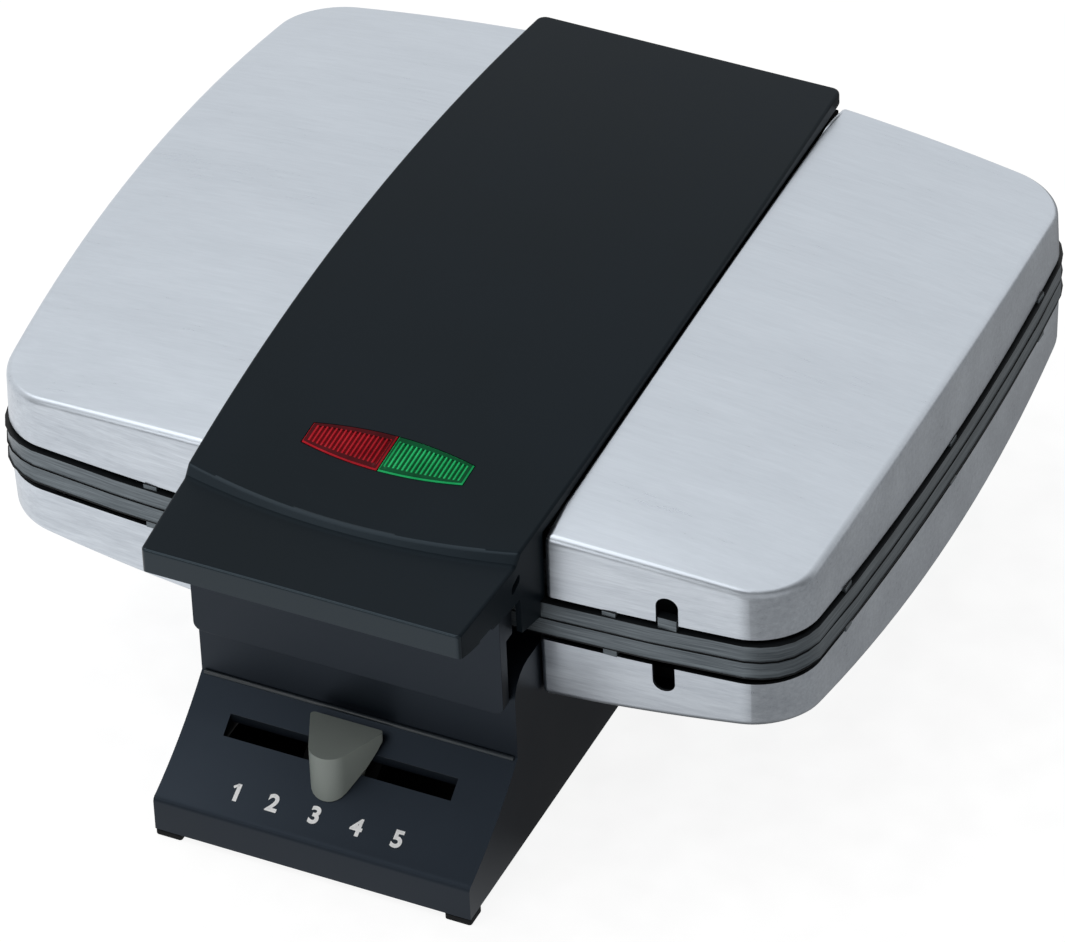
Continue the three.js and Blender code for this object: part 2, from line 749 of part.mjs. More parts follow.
// Base housing: console, column, well for the element and the hinge blocks
function baseHousing() {
  const lipCorner = [];
  for (let k = 0; k <= edgeSteps; k++) {
    const angle = Math.PI - ((Math.PI / 2) * k) / edgeSteps;
    lipCorner.push([
      -lipReach + lipRadius + lipRadius * Math.cos(angle),
      slopeZ(-lipReach + lipRadius) - lipRadius + lipRadius * Math.sin(angle),
    ]);
  }
  const shoulder = [];
  for (let k = 0; k <= cornerSteps; k++) {
    const angle = Math.PI - ((Math.PI / 2) * k) / cornerSteps;
    shoulder.push([
      -columnReach + shoulderRadius + shoulderRadius * Math.cos(angle),
      shoulderZ + shoulderRadius * Math.sin(angle),
    ]);
  }
  const seatFront = bodyHalfDepth - plateInset + gap;
  const profile = [
    [-lipReach, footHeight],
    ...lipCorner,
    ...slopeLine(-lipReach + lipRadius, -columnReach).slice(1),
    ...shoulder,
    [-seatFront, columnTopZ],
    [-seatFront, seatZ],
    [-seatReach, seatZ],
    [-seatReach, wellZ],
    [seatReach, wellZ],
    [seatReach, seatZ],
    [seatFront, seatZ],
    [seatFront, columnTopZ],
    [rearReach, columnTopZ],
    [rearReach, footHeight],
  ].reverse();
  const innerStart = -lipReach + wall;
  const innerShoulder = [];
  for (let k = 0; k <= cornerSteps; k++) {
    const angle = Math.PI - ((Math.PI / 2) * k) / cornerSteps;
    innerShoulder.push([
      -columnReach + shoulderRadius + (shoulderRadius - wall) * Math.cos(angle),
      shoulderZ + (shoulderRadius - wall) * Math.sin(angle),
    ]);
  }
  const ledge = [
    [seatFront + wall, columnTopZ - wall],
    [seatFront + wall, seatZ - wall],
    [seatReach + wall, seatZ - wall],
    [seatReach + wall, wellZ - wall],
    [seatReach, wellZ - wall],
    [seatReach, wellZ + overrun],
  ];
  const hollow = [
    [innerStart, footHeight - overrun],
    [innerStart, slopeZ(innerStart, wall)],
    ...slopeLine(innerStart, -columnReach + wall, wall).slice(1),
    ...innerShoulder,
    ...ledge.map(([y, z]) => [-y, z]),
    ...ledge.reverse(),
    [rearReach - wall, columnTopZ - wall],
    [rearReach - wall, footHeight - overrun],
  ].reverse();
  const shell = cut(
    drawX(profile, -baseHalfWidth, baseHalfWidth),
    drawX(hollow, -baseHalfWidth + wall, baseHalfWidth - wall),
  );
  const innerX = baseHalfWidth - wall;
  const cover = footHeight + coverPlate + gap;
  const bosses = [];
  [-bossX, bossX].forEach((x) =>
    [-bossFront, bossRear].forEach((y) => {
      const hand = Math.sign(x);
      const rib = block(
        Math.min(x, hand * (innerX + gap)),
        Math.max(x, hand * (innerX + gap)),
        y - wall / 2,
        y + wall / 2,
        cover,
        cover + bossHeight,
      );
      const post = rod(bossRadius, [x, y, cover], [x, y, cover + bossHeight]);
      const hole = rod(
        screwRadius + gap,
        [x, y, cover - overrun],
        [x, y, footHeight + screwLength + gap],
      );
      bosses.push(cut(join(post, rib), hole));
    }),
  );
  // Blocks behind the plates that carry the hinge pin
  const blockFront = bodyHalfDepth + flangeOverhang + 2 * gap;
  const earStart = lidEarInner + lidEarWidth + earGap;
  const knuckle = (x0, x1) => {
    const stem = block(x0, x1, blockFront, rearReach, columnTopZ - wall, partingZ);
    const barrel = rod(knuckleRadius, [x0, hingeReach, partingZ], [x1, hingeReach, partingZ]);
    return join(stem, barrel);
  };
  const inner = lidEarInner - earGap;
  const knuckles = join(
    knuckle(-inner, inner),
    knuckle(earStart, earStart + baseEarWidth),
    knuckle(-earStart - baseEarWidth, -earStart),
  );
  const pinBore = rod(
    pinRadius + gap,
    [-pinHalfLength - gap, hingeReach, partingZ],
    [pinHalfLength + gap, hingeReach, partingZ],
  );
  const slot = block(
    scaleX - slotHalfLength,
    scaleX + slotHalfLength,
    -slotFront,
    -slotBack,
    railZ,
    creaseZ + overrun,
  );
  const cordHole = rod(
    bushingRadius + gap,
    [bushingX, rearReach - wall - overrun, bushingZ],
    [bushingX, rearReach + overrun, bushingZ],
  );
  return cut(join(shell, knuckles, ...bosses), pinBore, slot, cordHole);
}

function bottomCover() {
  const halfX = baseHalfWidth - wall - gap;
  const front = -lipReach + wall + gap;
  const rear = rearReach - wall - gap;
  const plan = roundedBox(halfX, (rear - front) / 2, wall, 0, (rear + front) / 2);
  const plate = raise(plan, footHeight, footHeight + coverPlate);
  const holes = [];
  const through = (radius, x, y) =>
    holes.push(rod(radius, [x, y, footHeight - overrun], [x, y, footHeight + coverPlate + overrun]));
  [-bossX, bossX].forEach((x) =>
    [-bossFront, bossRear].forEach((y) => through(screwRadius + gap, x, y)),
  );
  footPlaces().forEach(([, x, y]) => through(footPegRadius + gap, x, y));
  [-ventY, ventY].forEach((y) => {
    for (let k = 0; k < ventCount; k++) {
      const x = (k - (ventCount - 1) / 2) * ventPitch;
      holes.push(
        raise(
          roundedBox(ventWidth / 2, ventLength / 2, ventWidth / 2 - gap, x, y),
          footHeight - overrun,
          footHeight + coverPlate + overrun,
        ),
      );
    }
  });
  return cut(plate, ...holes);
}

// Each foot's name, with the place of its peg
function footPlaces() {
  const x = baseHalfWidth - footLength + footPegRadius + gap;
  const front = -lipReach + footDepth - footPegRadius - gap;
  const rear = rearReach - footDepth + footPegRadius + gap;
  return [
    ["foot_front_left", -x, front],
    ["foot_front_right", x, front],
    ["foot_rear_left", -x, rear],
    ["foot_rear_right", x, rear],
  ];
}
function foot(x, y) {
  const outerX = Math.sign(x) * baseHalfWidth;
  const outerY = y < 0 ? -lipReach : rearReach;
  const innerX = outerX - Math.sign(x) * footLength;
  const innerY = outerY + (y < 0 ? footDepth : -footDepth);
  const centreX = (outerX + innerX) / 2;
  const centreY = (outerY + innerY) / 2;
  const pad = raise(
    roundedBox(footLength / 2, footDepth / 2, footPegRadius / 2, centreX, centreY),
    0,
    footHeight - gap,
  );
  const peg = rod(footPegRadius, [x, y, footHeight - 2 * gap], [x, y, footHeight + footPegHeight]);
  return pad.add(peg);
}

function screw(x, y) {
  const head = rod(screwHeadRadius, [x, y, footHeight - gap - screwHeadHeight], [x, y, footHeight - gap]);
  const shank = rod(screwRadius, [x, y, footHeight - 2 * gap], [x, y, footHeight + screwLength]);
  const recess = block(
    x - screwHeadRadius / 2,
    x + screwHeadRadius / 2,
    y - gap,
    y + gap,
    -overrun,
    footHeight - screwHeadHeight,
  );
  return cut(head.add(shank), recess);
}

// The knob is a wedge with a round nose; its foot follows the slope and its stem passes the slot
function knob() {
  const corners = [
    [scaleX, -knobApexReach],
    [scaleX + knobHalfWidth, -knobBack],
    [scaleX - knobHalfWidth, -knobBack],
  ];
  const radii = [knobNoseRadius, knobCornerRadius, knobCornerRadius];
  const plan = outline(corners, [0, 0, 0], radii, sideSteps, 2 * cornerSteps);
  const back = -knobBack + gap;
  const under = [
    [-knobApexReach, carriageBottomZ - overrun],
    [back, carriageBottomZ - overrun],
    ...slopeLine(back, -knobApexReach, -gap),
  ];
  const wide = knobHalfWidth + overrun;
  const body = cut(raise(plan, carriageBottomZ, knobTopZ), drawX(under, scaleX - wide, scaleX + wide));
  const stemHalf = slotHalfLength - slideTravel - stemClearance;
  const stem = block(
    scaleX - stemHalf,
    scaleX + stemHalf,
    -slotFront + stemClearance,
    -slotBack - stemClearance,
    stemBottomZ,
    knobTopZ - wall,
  );
  return join(body, stem);
}

function sliderCarriage() {
  const middle = -(slotFront + slotBack) / 2;
  const front = middle - carriageHalfDepth;
  const back = middle + carriageHalfDepth;
  const depth = wall + carriageClearance;
  const profile = [
    [front, carriageBottomZ],
    [back, carriageBottomZ],
    ...slopeLine(back, front, depth, edgeSteps),
  ];
  const body = drawX(profile, scaleX - carriageHalfLength, scaleX + carriageHalfLength);
  const stemHalf = slotHalfLength - slideTravel - stemClearance + gap;
  const pocket = block(
    scaleX - stemHalf,
    scaleX + stemHalf,
    -slotFront + stemClearance - gap,
    -slotBack - stemClearance + gap,
    stemBottomZ - gap,
    creaseZ,
  );
  const railBore = rod(
    railRadius + gap,
    [scaleX - carriageHalfLength - overrun, middle, railZ],
    [scaleX + carriageHalfLength + overrun, middle, railZ],
  );
  const pin = rod(
    leverPinRadius,
    [scaleX, middle, leverZ - gap],
    [scaleX, middle, carriageBottomZ + gap],
  );
  return join(cut(body, pocket, railBore), pin);
}

function sliderRail() {
  const middle = -(slotFront + slotBack) / 2;
  const end = baseHalfWidth - wall - gap;
  return rod(railRadius, [-end, middle, railZ], [end, middle, railZ], thinSides);
}

const spindleY = -(slotFront + slotBack) / 2 + leverArm;
function thermostatLever() {
  const farReach = Math.hypot(leverArm, slideTravel) + leverPinRadius + 2 * gap;
  const nearReach = leverArm - leverPinRadius - 2 * gap;
  const tip = farReach + leverPinRadius;
  const arm = raise(
    roundedBox(leverWidth / 2, tip / 2, leverWidth / 2 - gap, scaleX, spindleY - tip / 2 + leverWidth / 4),
    leverZ,
    leverZ + leverThickness,
  );
  const slot = raise(
    roundedBox(
      leverSlotWidth / 2,
      (farReach - nearReach) / 2,
      gap,
      scaleX,
      spindleY - (farReach + nearReach) / 2,
    ),
    leverZ - overrun,
    leverZ + leverThickness + overrun,
  );
  const hub = rod(
    spindleRadius + wall,
    [scaleX, spindleY, leverZ],
    [scaleX, spindleY, leverZ + leverThickness + wall],
  );
  const bore = rod(
    spindleRadius + gap,
    [scaleX, spindleY, leverZ - overrun],
    [scaleX, spindleY, leverZ + leverThickness + wall + overrun],
  );
  return cut(join(arm, hub), slot, bore);
}
const thermostatTopZ = wellZ;
function thermostatSpindle() {
  const top = thermostatTopZ - thermostatHeight + spindleSeat - gap;
  return rod(spindleRadius, [scaleX, spindleY, leverZ - gap], [scaleX, spindleY, top]);
}
function thermostat() {
  const z0 = thermostatTopZ - thermostatHeight;
  const body = raise(
    roundedBox(thermostatWidth / 2, thermostatDepth / 2, wall, scaleX, spindleY),
    z0,
    thermostatTopZ,
  );
  const sensor = rod(
    sensorRadius,
    [scaleX, spindleY + sensorShift, thermostatTopZ - gap],
    [scaleX, spindleY + sensorShift, seatZ],
  );
  const bore = rod(
    spindleRadius + gap,
    [scaleX, spindleY, z0 - overrun],
    [scaleX, spindleY, z0 + spindleSeat],
  );
  return cut(join(body, sensor), bore);
}

function terminalBlock() {
  const z0 = footHeight + coverPlate + gap;
  const body = block(
    terminalX - terminalWidth / 2,
    terminalX + terminalWidth / 2,
    terminalY - terminalDepth / 2,
    terminalY + terminalDepth / 2,
    z0,
    z0 + terminalHeight,
  );
  const bores = [-1, 0, 1].map((step) => {
    const x = terminalX + step * terminalPitch;
    const z = z0 + terminalHeight / 2;
    return rod(
      terminalBore,
      [x, terminalY - terminalDepth, z],
      [x, terminalY + terminalDepth, z],
      thinSides,
    );
  });
  return cut(body, ...bores);
}

function cordBushing() {
  const inner = rearReach - wall - bushingInside;
  const collar = rod(bushingRadius, [bushingX, inner, bushingZ], [bushingX, rearReach + gap, bushingZ]);
  const flange = rod(
    bushingFlangeRadius,
    [bushingX, rearReach + gap, bushingZ],
    [bushingX, rearReach + bushingFlange, bushingZ],
  );
  const bore = rod(
    bushingBore,
    [bushingX, inner - overrun, bushingZ],
    [bushingX, rearReach + overrun, bushingZ],
  );
  return cut(join(collar, flange), bore);
}

// The lid cover: an arched strap with bulging sides that runs forward into the handle
function strapPlan(inset) {
  const half = strapEndHalfWidth - inset;
  const front = -strapFront + inset;
  const back = strapBack - inset;
  const corners = [[-half, front], [half, front], [half, back], [-half, back]];
  const radii = [strapFrontRadius, strapFrontRadius, strapBackRadius, strapBackRadius];
  return outline(corners, [0, strapSideBulge, 0, strapSideBulge], radii, 2 * sideSteps);
}
function archBand(topDrop, bottomAt, y0, y1, steps = 3 * sideSteps) {
  const upper = [];
  const lower = [];
  for (let k = 0; k <= steps; k++) {
    const y = y0 + ((y1 - y0) * k) / steps;
    upper.push([y, archZ(y) - topDrop]);
    lower.push([y, bottomAt(y)]);
  }
  return [...lower, ...upper.reverse()];
}
// The strap's underside lies just above the crown of the steel covers
function strapUnderZ(y) {
  const limit = bodyHalfDepth - frontBulge;
  const clamped = THREE.MathUtils.clamp(y, -limit, limit);
  return upperRimZ + coverRise - crownFall(strapHalfWidth(clamped), clamped) + gap;
}
// The lower edge of the handle's cheeks, from the front back to the steel
const handleEdge = handleEdgeShares.map(([runShare, dropShare]) => [
  -strapFront + handleEdgeRun * runShare,
  handleEdgeZ - handleEdgeDrop * dropShare,
]);
function handleEdgeAt(y) {
  const k = handleEdge.findIndex(([edgeY]) => edgeY >= y);
  const [y0, z0] = handleEdge[k - 1];
  const [y1, z1] = handleEdge[k];
  return z0 + ((z1 - z0) * (y - y0)) / (y1 - y0);
}
function lidCover() {
  const wide = strapEndHalfWidth + strapSideBulge + overrun;
  const front = -strapFront - overrun;
  const back = strapBack + overrun;
  const rings = [strapPlan(0).map((p) => new THREE.Vector3(p.x, p.y, apronBottomZ))];
  for (let k = 0; k <= edgeSteps; k++) {
    const angle = ((Math.PI / 2) * k) / edgeSteps;
    const inset = strapEdge * (1 - Math.cos(angle));
    const drop = strapEdge * (1 - Math.sin(angle));
    rings.push(strapPlan(inset).map((p) => new THREE.Vector3(p.x, p.y, archZ(p.y) - drop)));
  }
  const rim = strapPlan(strapEdge);
  strapCrownShares.forEach((share) =>
    rings.push(
      rim.map((p) => {
        const y = strapMiddle + (p.y - strapMiddle) * share;
        return new THREE.Vector3(p.x * share, y, archZ(y));
      }),
    ),
  );
  const outer = skin(rings);
  // Room below for the steel covers, the frame and the apron
  const under = [];
  const steps = 2 * sideSteps;
  for (let k = 0; k <= steps; k++) {
    const y = -cheekReach + ((back + cheekReach) * k) / steps;
    under.push([y, strapUnderZ(y)]);
  }
  const cheekCut = [
    [front, apronBottomZ - overrun],
    [back, apronBottomZ - overrun],
    ...under.reverse(),
    [-cheekReach, cheekBottomZ],
    ...[...handleEdge].reverse(),
    [front, handleEdgeZ],
  ];
  const trimmed = cut(outer, drawX(cheekCut, -wide, wide));
  // Hollow of the handle and of the strap behind it
  const innerPlan = raise(strapPlan(strapSkin), 0, crestZ + overrun);
  const hollow = innerPlan.intersect(
    drawX(archBand(strapSkin + stepDrop, () => 0, front, -cheekReach + strapSkin), -wide, wide),
  );
  const pocketFrom = -cheekReach;
  const pocketTo = -deckFront / 2;
  const rearFrom = deckFront / 2;
  const pockets = [
    [pocketFrom, pocketTo],
    [rearFrom, strapBack - strapSkin],
  ].map(([y0, y1]) =>
    raise(strapPlan(4 * strapSkin), 0, crestZ + overrun).intersect(
      drawX(archBand(strapSkin, () => 0, y0, y1), -wide, wide),
    ),
  );
  // The curved step down to the handle
  const step = [];
  const stepSpan = strapHalfWidth(-stepReach);
  const stepY = (x, run) => -stepReach - run + stepSag * (x / stepSpan) ** 2;
  const stepRing = (run, z, farZ) => {
    const points = [];
    for (let k = 0; k <= sideSteps; k++) {
      const x = wide - (2 * wide * k) / sideSteps;
      points.push(new THREE.Vector3(x, Math.min(stepY(x, run), -stepReach + stepSag + overrun), z));
    }
    points.push(new THREE.Vector3(-wide, front, farZ));
    points.push(new THREE.Vector3(wide, front, farZ));
    return points;
  };
  const crestAt = archZ(-stepReach);
  const treadZ = crestAt - stepDrop;
  const handleSlope = (treadZ - handleTopZ) / (strapFront - stepReach);
  const frontZ = treadZ - handleSlope * (strapFront + overrun - stepReach);
  const slack = stepRun / stepDrop;
  step.push(stepRing(stepRun, treadZ, frontZ));
  step.push(stepRing(-overrun * slack, crestAt + overrun, crestAt + overrun));
  const stepTool = skin(step);
  // Window for the lenses and posts that stand on the frame
  const window = raise(lensPlan(gap), 0, crestZ + overrun);
  const posts = [];
  postYs.forEach((y) =>
    [-postX, postX].forEach((x) =>
      posts.push(rod(postRadius, [x, y, frameDeckZ + frameWall + gap], [x, y, archZ(y) - strapSkin / 2])),
    ),
  );
  return join(cut(trimmed, hollow, ...pockets, stepTool, window), ...posts);
}

// The two lenses share a boat-shaped window; hand is -1 for the left one, 1 for the right one
function lensPlan(grow, hand = 0) {
  const half = lensHalfLength + grow;
  const end = lensEndWidth / 2 + grow;
  const x0 = hand > 0 ? gap / 2 : -half;
  const x1 = hand < 0 ? -gap / 2 : half;
  const sideAt = (x) => end + lensBulge * (1 - (x / half) ** 2);
  const points = [];
  for (let k = 0; k <= sideSteps; k++) {
    const x = x0 + ((x1 - x0) * k) / sideSteps;
    points.push([x, lensCentreY - sideAt(x)]);
  }
  for (let k = 0; k <= sideSteps; k++) {
    const x = x1 + ((x0 - x1) * k) / sideSteps;
    points.push([x, lensCentreY + sideAt(x)]);
  }
  return points;
}
function lens(hand) {
  const topZ = archZ(lensCentreY) + lensProud;
  const wide = lensHalfLength + overrun;
  const reach = lensEndWidth / 2 + lensBulge + overrun;
  const band = drawX(
    archBand(-lensProud, () => topZ - lensThickness, lensCentreY - reach, lensCentreY + reach, sideSteps),
    -wide,
    wide,
  );
  const body = raise(lensPlan(0, hand), 0, crestZ + overrun).intersect(band);
  const grooves = [];
  const pitch = (lensHalfLength - 2 * lensFrame) / lensRibs;
  for (let k = 0; k < lensRibs; k++) {
    const x = hand * (lensFrame + pitch * (k + 1 / 2));
    const half = lensEndWidth / 2 + lensBulge * (1 - (x / lensHalfLength) ** 2) - lensFrame;
    grooves.push(
      block(
        x - pitch / 4,
        x + pitch / 4,
        lensCentreY - half,
        lensCentreY + half,
        archZ(lensCentreY) - lensRibDepth,
        crestZ,
      ),
    );
  }
  return cut(body, ...grooves);
}

// The lower half of the handle, with the apron that hangs in front of the column
function handleBase() {
  const inset = strapSkin + gap;
  const floorBack = -apronReach + apronSkin;
  const edge = [
    [-strapFront, handleEdgeZ],
    ...handleEdge.filter(([y]) => y > -strapFront && y < floorBack),
    [floorBack, handleEdgeAt(floorBack)],
  ];
  const wide = strapEndHalfWidth + strapSideBulge;
  const floor = drawX(
    [...edge, ...edge.map(([y, z]) => [y, z + strapSkin]).reverse()],
    -wide,
    wide,
  ).intersect(raise(strapPlan(inset), 0, crestZ));
  const topZ = handleEdgeAt(-apronReach);
  const radii = [apronCornerRadius, apronCornerRadius, 0, 0];
  const panelShape = (half, low, high, round) =>
    outline([[-half, low], [half, low], [half, high], [-half, high]], [0, 0, 0, 0], round);
  const panel = (depth, low) => {
    const outer = drawY(
      panelShape(apronHalfWidth, low, topZ + gap, radii),
      -apronReach,
      -apronReach + depth,
    );
    const inner = drawY(
      panelShape(
        apronHalfWidth - apronSkin,
        low + apronSkin,
        topZ + overrun,
        [apronSkin / 2, apronSkin / 2, 0, 0],
      ),
      -apronReach + apronSkin,
      -apronReach + depth + overrun,
    );
    return cut(outer, inner);
  };
  const returns = panel(apronReturn, apronBottomZ).intersect(
    block(-wide, wide, -apronReach, -apronReach + apronReturn, apronReturnZ, crestZ),
  );
  return join(panel(apronDepth, apronBottomZ), returns, floor);
}

// The frame under the strap: two side walls, a deck, a rear wall and the two lid ears
function lidFrame() {
  const bottom = partingZ + gap / 2 + platesBack + gap;
  const deckTop = frameDeckZ + frameWall;
  const trayReach = bodyHalfDepth - trayInset + gap;
  const profile = [
    [-frameFront, bottom],
    [-trayReach, bottom],
    [-trayReach, upperTrayZ + gap],
    [trayReach, upperTrayZ + gap],
    [trayReach, bottom],
    [frameRear, bottom],
    [frameRear, deckTop],
    [-frameFront, deckTop],
  ];
  const hollow = [
    [-frameFront - overrun, bottom - overrun],
    [frameRear - frameWall, bottom - overrun],
    [frameRear - frameWall, frameDeckZ],
    [-frameFront - overrun, frameDeckZ],
  ];
  const opening = [
    [-frameFront + frameSpar, frameDeckZ - overrun],
    [-deckFront, frameDeckZ - overrun],
    [-deckFront, frameDeckZ + overrun],
    [-frameFront + frameSpar, frameDeckZ + overrun],
  ];
  const inner = frameHalfWidth - frameWall;
  const channel = cut(
    drawX(profile, -frameHalfWidth, frameHalfWidth),
    drawX(hollow, -inner, inner),
    drawX(opening, -inner, inner),
  );
  const plateTop = partingZ + flangeHeight + 2 * gap;
  const clear = bodyHalfDepth + flangeOverhang + 2 * gap;
  const ears = [-1, 1].map((hand) => {
    const x0 = hand > 0 ? lidEarInner : -lidEarInner - lidEarWidth;
    const x1 = x0 + lidEarWidth;
    const barrel = rod(
      knuckleRadius - gap,
      [x0, hingeReach, partingZ],
      [x1, hingeReach, partingZ],
    );
    const web = drawX(
      [
        [frameRear - frameWall, plateTop],
        [clear, plateTop],
        [clear + gap, partingZ],
        [hingeReach + knuckleRadius - gap, partingZ],
        [hingeReach, frameDeckZ - frameWall],
        [frameRear - frameWall, frameDeckZ],
      ],
      x0,
      x1,
    );
    return join(barrel, web);
  });
  const skirtLow = block(
    -frameHalfWidth,
    frameHalfWidth,
    frameRear - frameWall,
    frameRear,
    plateTop,
    bottom + gap,
  );
  const bore = rod(
    pinRadius + gap,
    [-pinHalfLength, hingeReach, partingZ],
    [pinHalfLength, hingeReach, partingZ],
  );
  return cut(join(channel, skirtLow, ...ears), bore);
}

const lampZ = archZ(lensCentreY) + lensProud - lensThickness - lampDrop - lampRadius;
function lampHolder() {
  const z1 = lampZ - lampRadius - gap;
  return block(
    -frameHalfWidth + frameWall + gap,
    frameHalfWidth - frameWall - gap,
    lensCentreY - holderDepth / 2,
    lensCentreY + holderDepth / 2,
    z1 - holderThickness,
    z1,
  ).add(
    join(
      ...[-1, 0, 1].map((step) =>
        block(
          step * holderHalfLength - holderThickness / 2,
          step * holderHalfLength + holderThickness / 2,
          lensCentreY - holderDepth / 2,
          lensCentreY + holderDepth / 2,
          z1 - gap,
          z1 + lampRadius,
        ),
      ),
    ),
  );
}
function lamp(hand) {
  const middle = (hand * holderHalfLength) / 2;
  const profile = [];
  for (let k = 0; k <= cornerSteps; k++) {
    const angle = ((Math.PI / 2) * k) / cornerSteps;
    profile.push(
      new THREE.Vector2(
        lampRadius * Math.sin(angle),
        -lampLength / 2 + lampRadius * (1 - Math.cos(angle)),
      ),
    );
  }
  profile.push(new THREE.Vector2(lampRadius, lampLength / 2));
  profile.push(new THREE.Vector2(0, lampLength / 2));
  const geometry = new THREE.LatheGeometry(profile, thinSides);
  geometry.rotateZ(Math.PI / 2).translate(middle, lensCentreY, lampZ);
  return solid(geometry);
}

// Base and everything that stands still
place("base_housing", baseHousing(), blackPlastic);
place("bottom_cover", bottomCover(), blackPlastic);
footPlaces().forEach(([name, x, y]) => place(name, foot(x, y), rubber));
[
  ["front_left", -bossX, -bossFront],
  ["front_right", bossX, -bossFront],
  ["rear_left", -bossX, bossRear],
  ["rear_right", bossX, bossRear],
].forEach(([corner, x, y]) => place("bottom_screw_" + corner, screw(x, y), zincSteel));
place("steel_cover_lower_left", steelCover(-1, -1), brushedSteel);
place("steel_cover_lower_right", steelCover(1, -1), brushedSteel);
const lowerInPlace = (plate) => plate.translate([0, 0, partingZ - gap / 2]);
place("lower_baking_plate", lowerInPlace(bakingPlate(lowerRimGap, false)), castAluminium);
place("waffle_grid_lower_left", lowerInPlace(waffleGrid(-cavityCentreX)), castAluminium);
place("waffle_grid_lower_right", lowerInPlace(waffleGrid(cavityCentreX)), castAluminium);
place("lower_heating_element", heatingElement(lowerElementZ, lowerElementZ), sheathSteel);
const sensorHole = rod(
  sensorRadius + gap,
  [scaleX, spindleY + sensorShift, lowerTrayZ - overrun],
  [scaleX, spindleY + sensorShift, lowerTrayZ + trayLip + overrun],
);
place("lower_reflector", cut(reflectorTray(lowerTrayZ, 1), sensorHole), zincSteel);
place("thermostat", thermostat(), ivoryPlastic);
place("slider_rail", sliderRail(), zincSteel);
place("terminal_block", terminalBlock(), ivoryPlastic);
place("cord_bushing", cordBushing(), rubber);
place(
  "hinge_pin",
  rod(pinRadius, [-pinHalfLength, hingeReach, partingZ], [pinHalfLength, hingeReach, partingZ]),
  zincSteel,
);

// Slider and the lever that it turns
place("slider_knob", knob(), taupePlastic);
place("slider_carriage", sliderCarriage(), blackPlastic);
place("thermostat_lever", thermostatLever(), zincSteel);
place("thermostat_spindle", thermostatSpindle(), zincSteel);

// Lid and everything that opens with it
place("lid_cover", lidCover(), blackPlastic);
place("handle_base", handleBase(), blackPlastic);
place("lid_frame", lidFrame(), blackPlastic);
place("lens_red", lens(-1), redLens);
place("lens_green", lens(1), greenLens);
place("lamp_holder", lampHolder(), ivoryPlastic);
place("lamp_left", lamp(-1), lampGlass);
place("lamp_right", lamp(1), lampGlass);
place("steel_cover_upper_left", steelCover(-1, 1), brushedSteel);
place("steel_cover_upper_right", steelCover(1, 1), brushedSteel);
const upperInPlace = (plate) => plate.rotate([180, 0, 0]).translate([0, 0, partingZ + gap / 2]);
place("upper_baking_plate", upperInPlace(bakingPlate(upperRimGap, true)), castAluminium);
place("waffle_grid_upper_left", upperInPlace(waffleGrid(-cavityCentreX)), castAluminium);
place("waffle_grid_upper_right", upperInPlace(waffleGrid(cavityCentreX)), castAluminium);
place("upper_heating_element", heatingElement(upperElementZ, upperElementZ), sheathSteel);
place("upper_reflector", reflectorTray(upperTrayZ, -1), zincSteel);

// The origin is on the floor, at the middle of the box
assembly.position.y = (lipReach - rearReach - bushingFlange) / 2;
const wafflemaker = new THREE.Group();
wafflemaker.name = "waffle_maker";
wafflemaker.add(assembly);
export default wafflemaker;
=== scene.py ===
"""The looks of a twin Belgian waffle maker: brushed steel covers, a black strap and handle, and a console."""

import bpy
import bmesh
import math
from mathutils import Matrix, Vector


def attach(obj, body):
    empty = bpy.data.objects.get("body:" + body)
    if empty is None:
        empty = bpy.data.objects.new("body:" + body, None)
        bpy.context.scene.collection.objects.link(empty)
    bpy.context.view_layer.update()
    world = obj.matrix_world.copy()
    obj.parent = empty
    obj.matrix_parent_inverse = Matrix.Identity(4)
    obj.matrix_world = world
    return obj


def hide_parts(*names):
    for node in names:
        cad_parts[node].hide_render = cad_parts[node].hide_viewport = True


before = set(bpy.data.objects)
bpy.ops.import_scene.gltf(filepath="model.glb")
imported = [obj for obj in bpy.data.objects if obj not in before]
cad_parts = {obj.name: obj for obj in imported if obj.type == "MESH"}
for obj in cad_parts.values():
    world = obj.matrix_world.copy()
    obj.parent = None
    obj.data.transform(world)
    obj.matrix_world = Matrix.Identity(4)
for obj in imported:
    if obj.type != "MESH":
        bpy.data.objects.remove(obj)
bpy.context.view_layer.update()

# Real sizes in millimetres, with Y from the middle of the baking plates
MM = 0.001
SHIFT = 19.55
# What lies this near to a place counts as being there
CLOSE = 0.1
# The same where other points are near, and how near points are merged after modelling
TIGHT = 0.01
# How near a CAD piece's points are merged, and by how many degrees its whole faces may turn
WELD = 0.002
FLAT = 0.4
# How far a cut goes past what it cuts
OVERRUN = 8

# The outline that covers and plates share, and their heights
BODY_X = 145.0
BODY_Y = 121.8
FRONT_BULGE = 7.5
SIDE_BULGE = 5.4
CORNER = 18.7
UPPER_RIM = 93.0
LOWER_RIM = 75.1
PARTING = 84.6

# Steel covers
COVER_RISE = 33.5
SHEET = 1.0
DRAFT = 0.4
EDGE_RADIUS = 2.5
INNER_EDGE = 0.7
INNER_CORNER = 2.2
CROWN_X = 8.6
CROWN_Y = 8.7
STRAP_SEAM = 0.5
BASE_X = 55.5
BASE_SEAM = 0.3
UPPER_NOTCH_X = 95.3
LOWER_NOTCH_X = 93.6
NOTCH_WIDTH = 7.4
NOTCH_DEPTH = 10
NOTCH_ROUND = 3.6

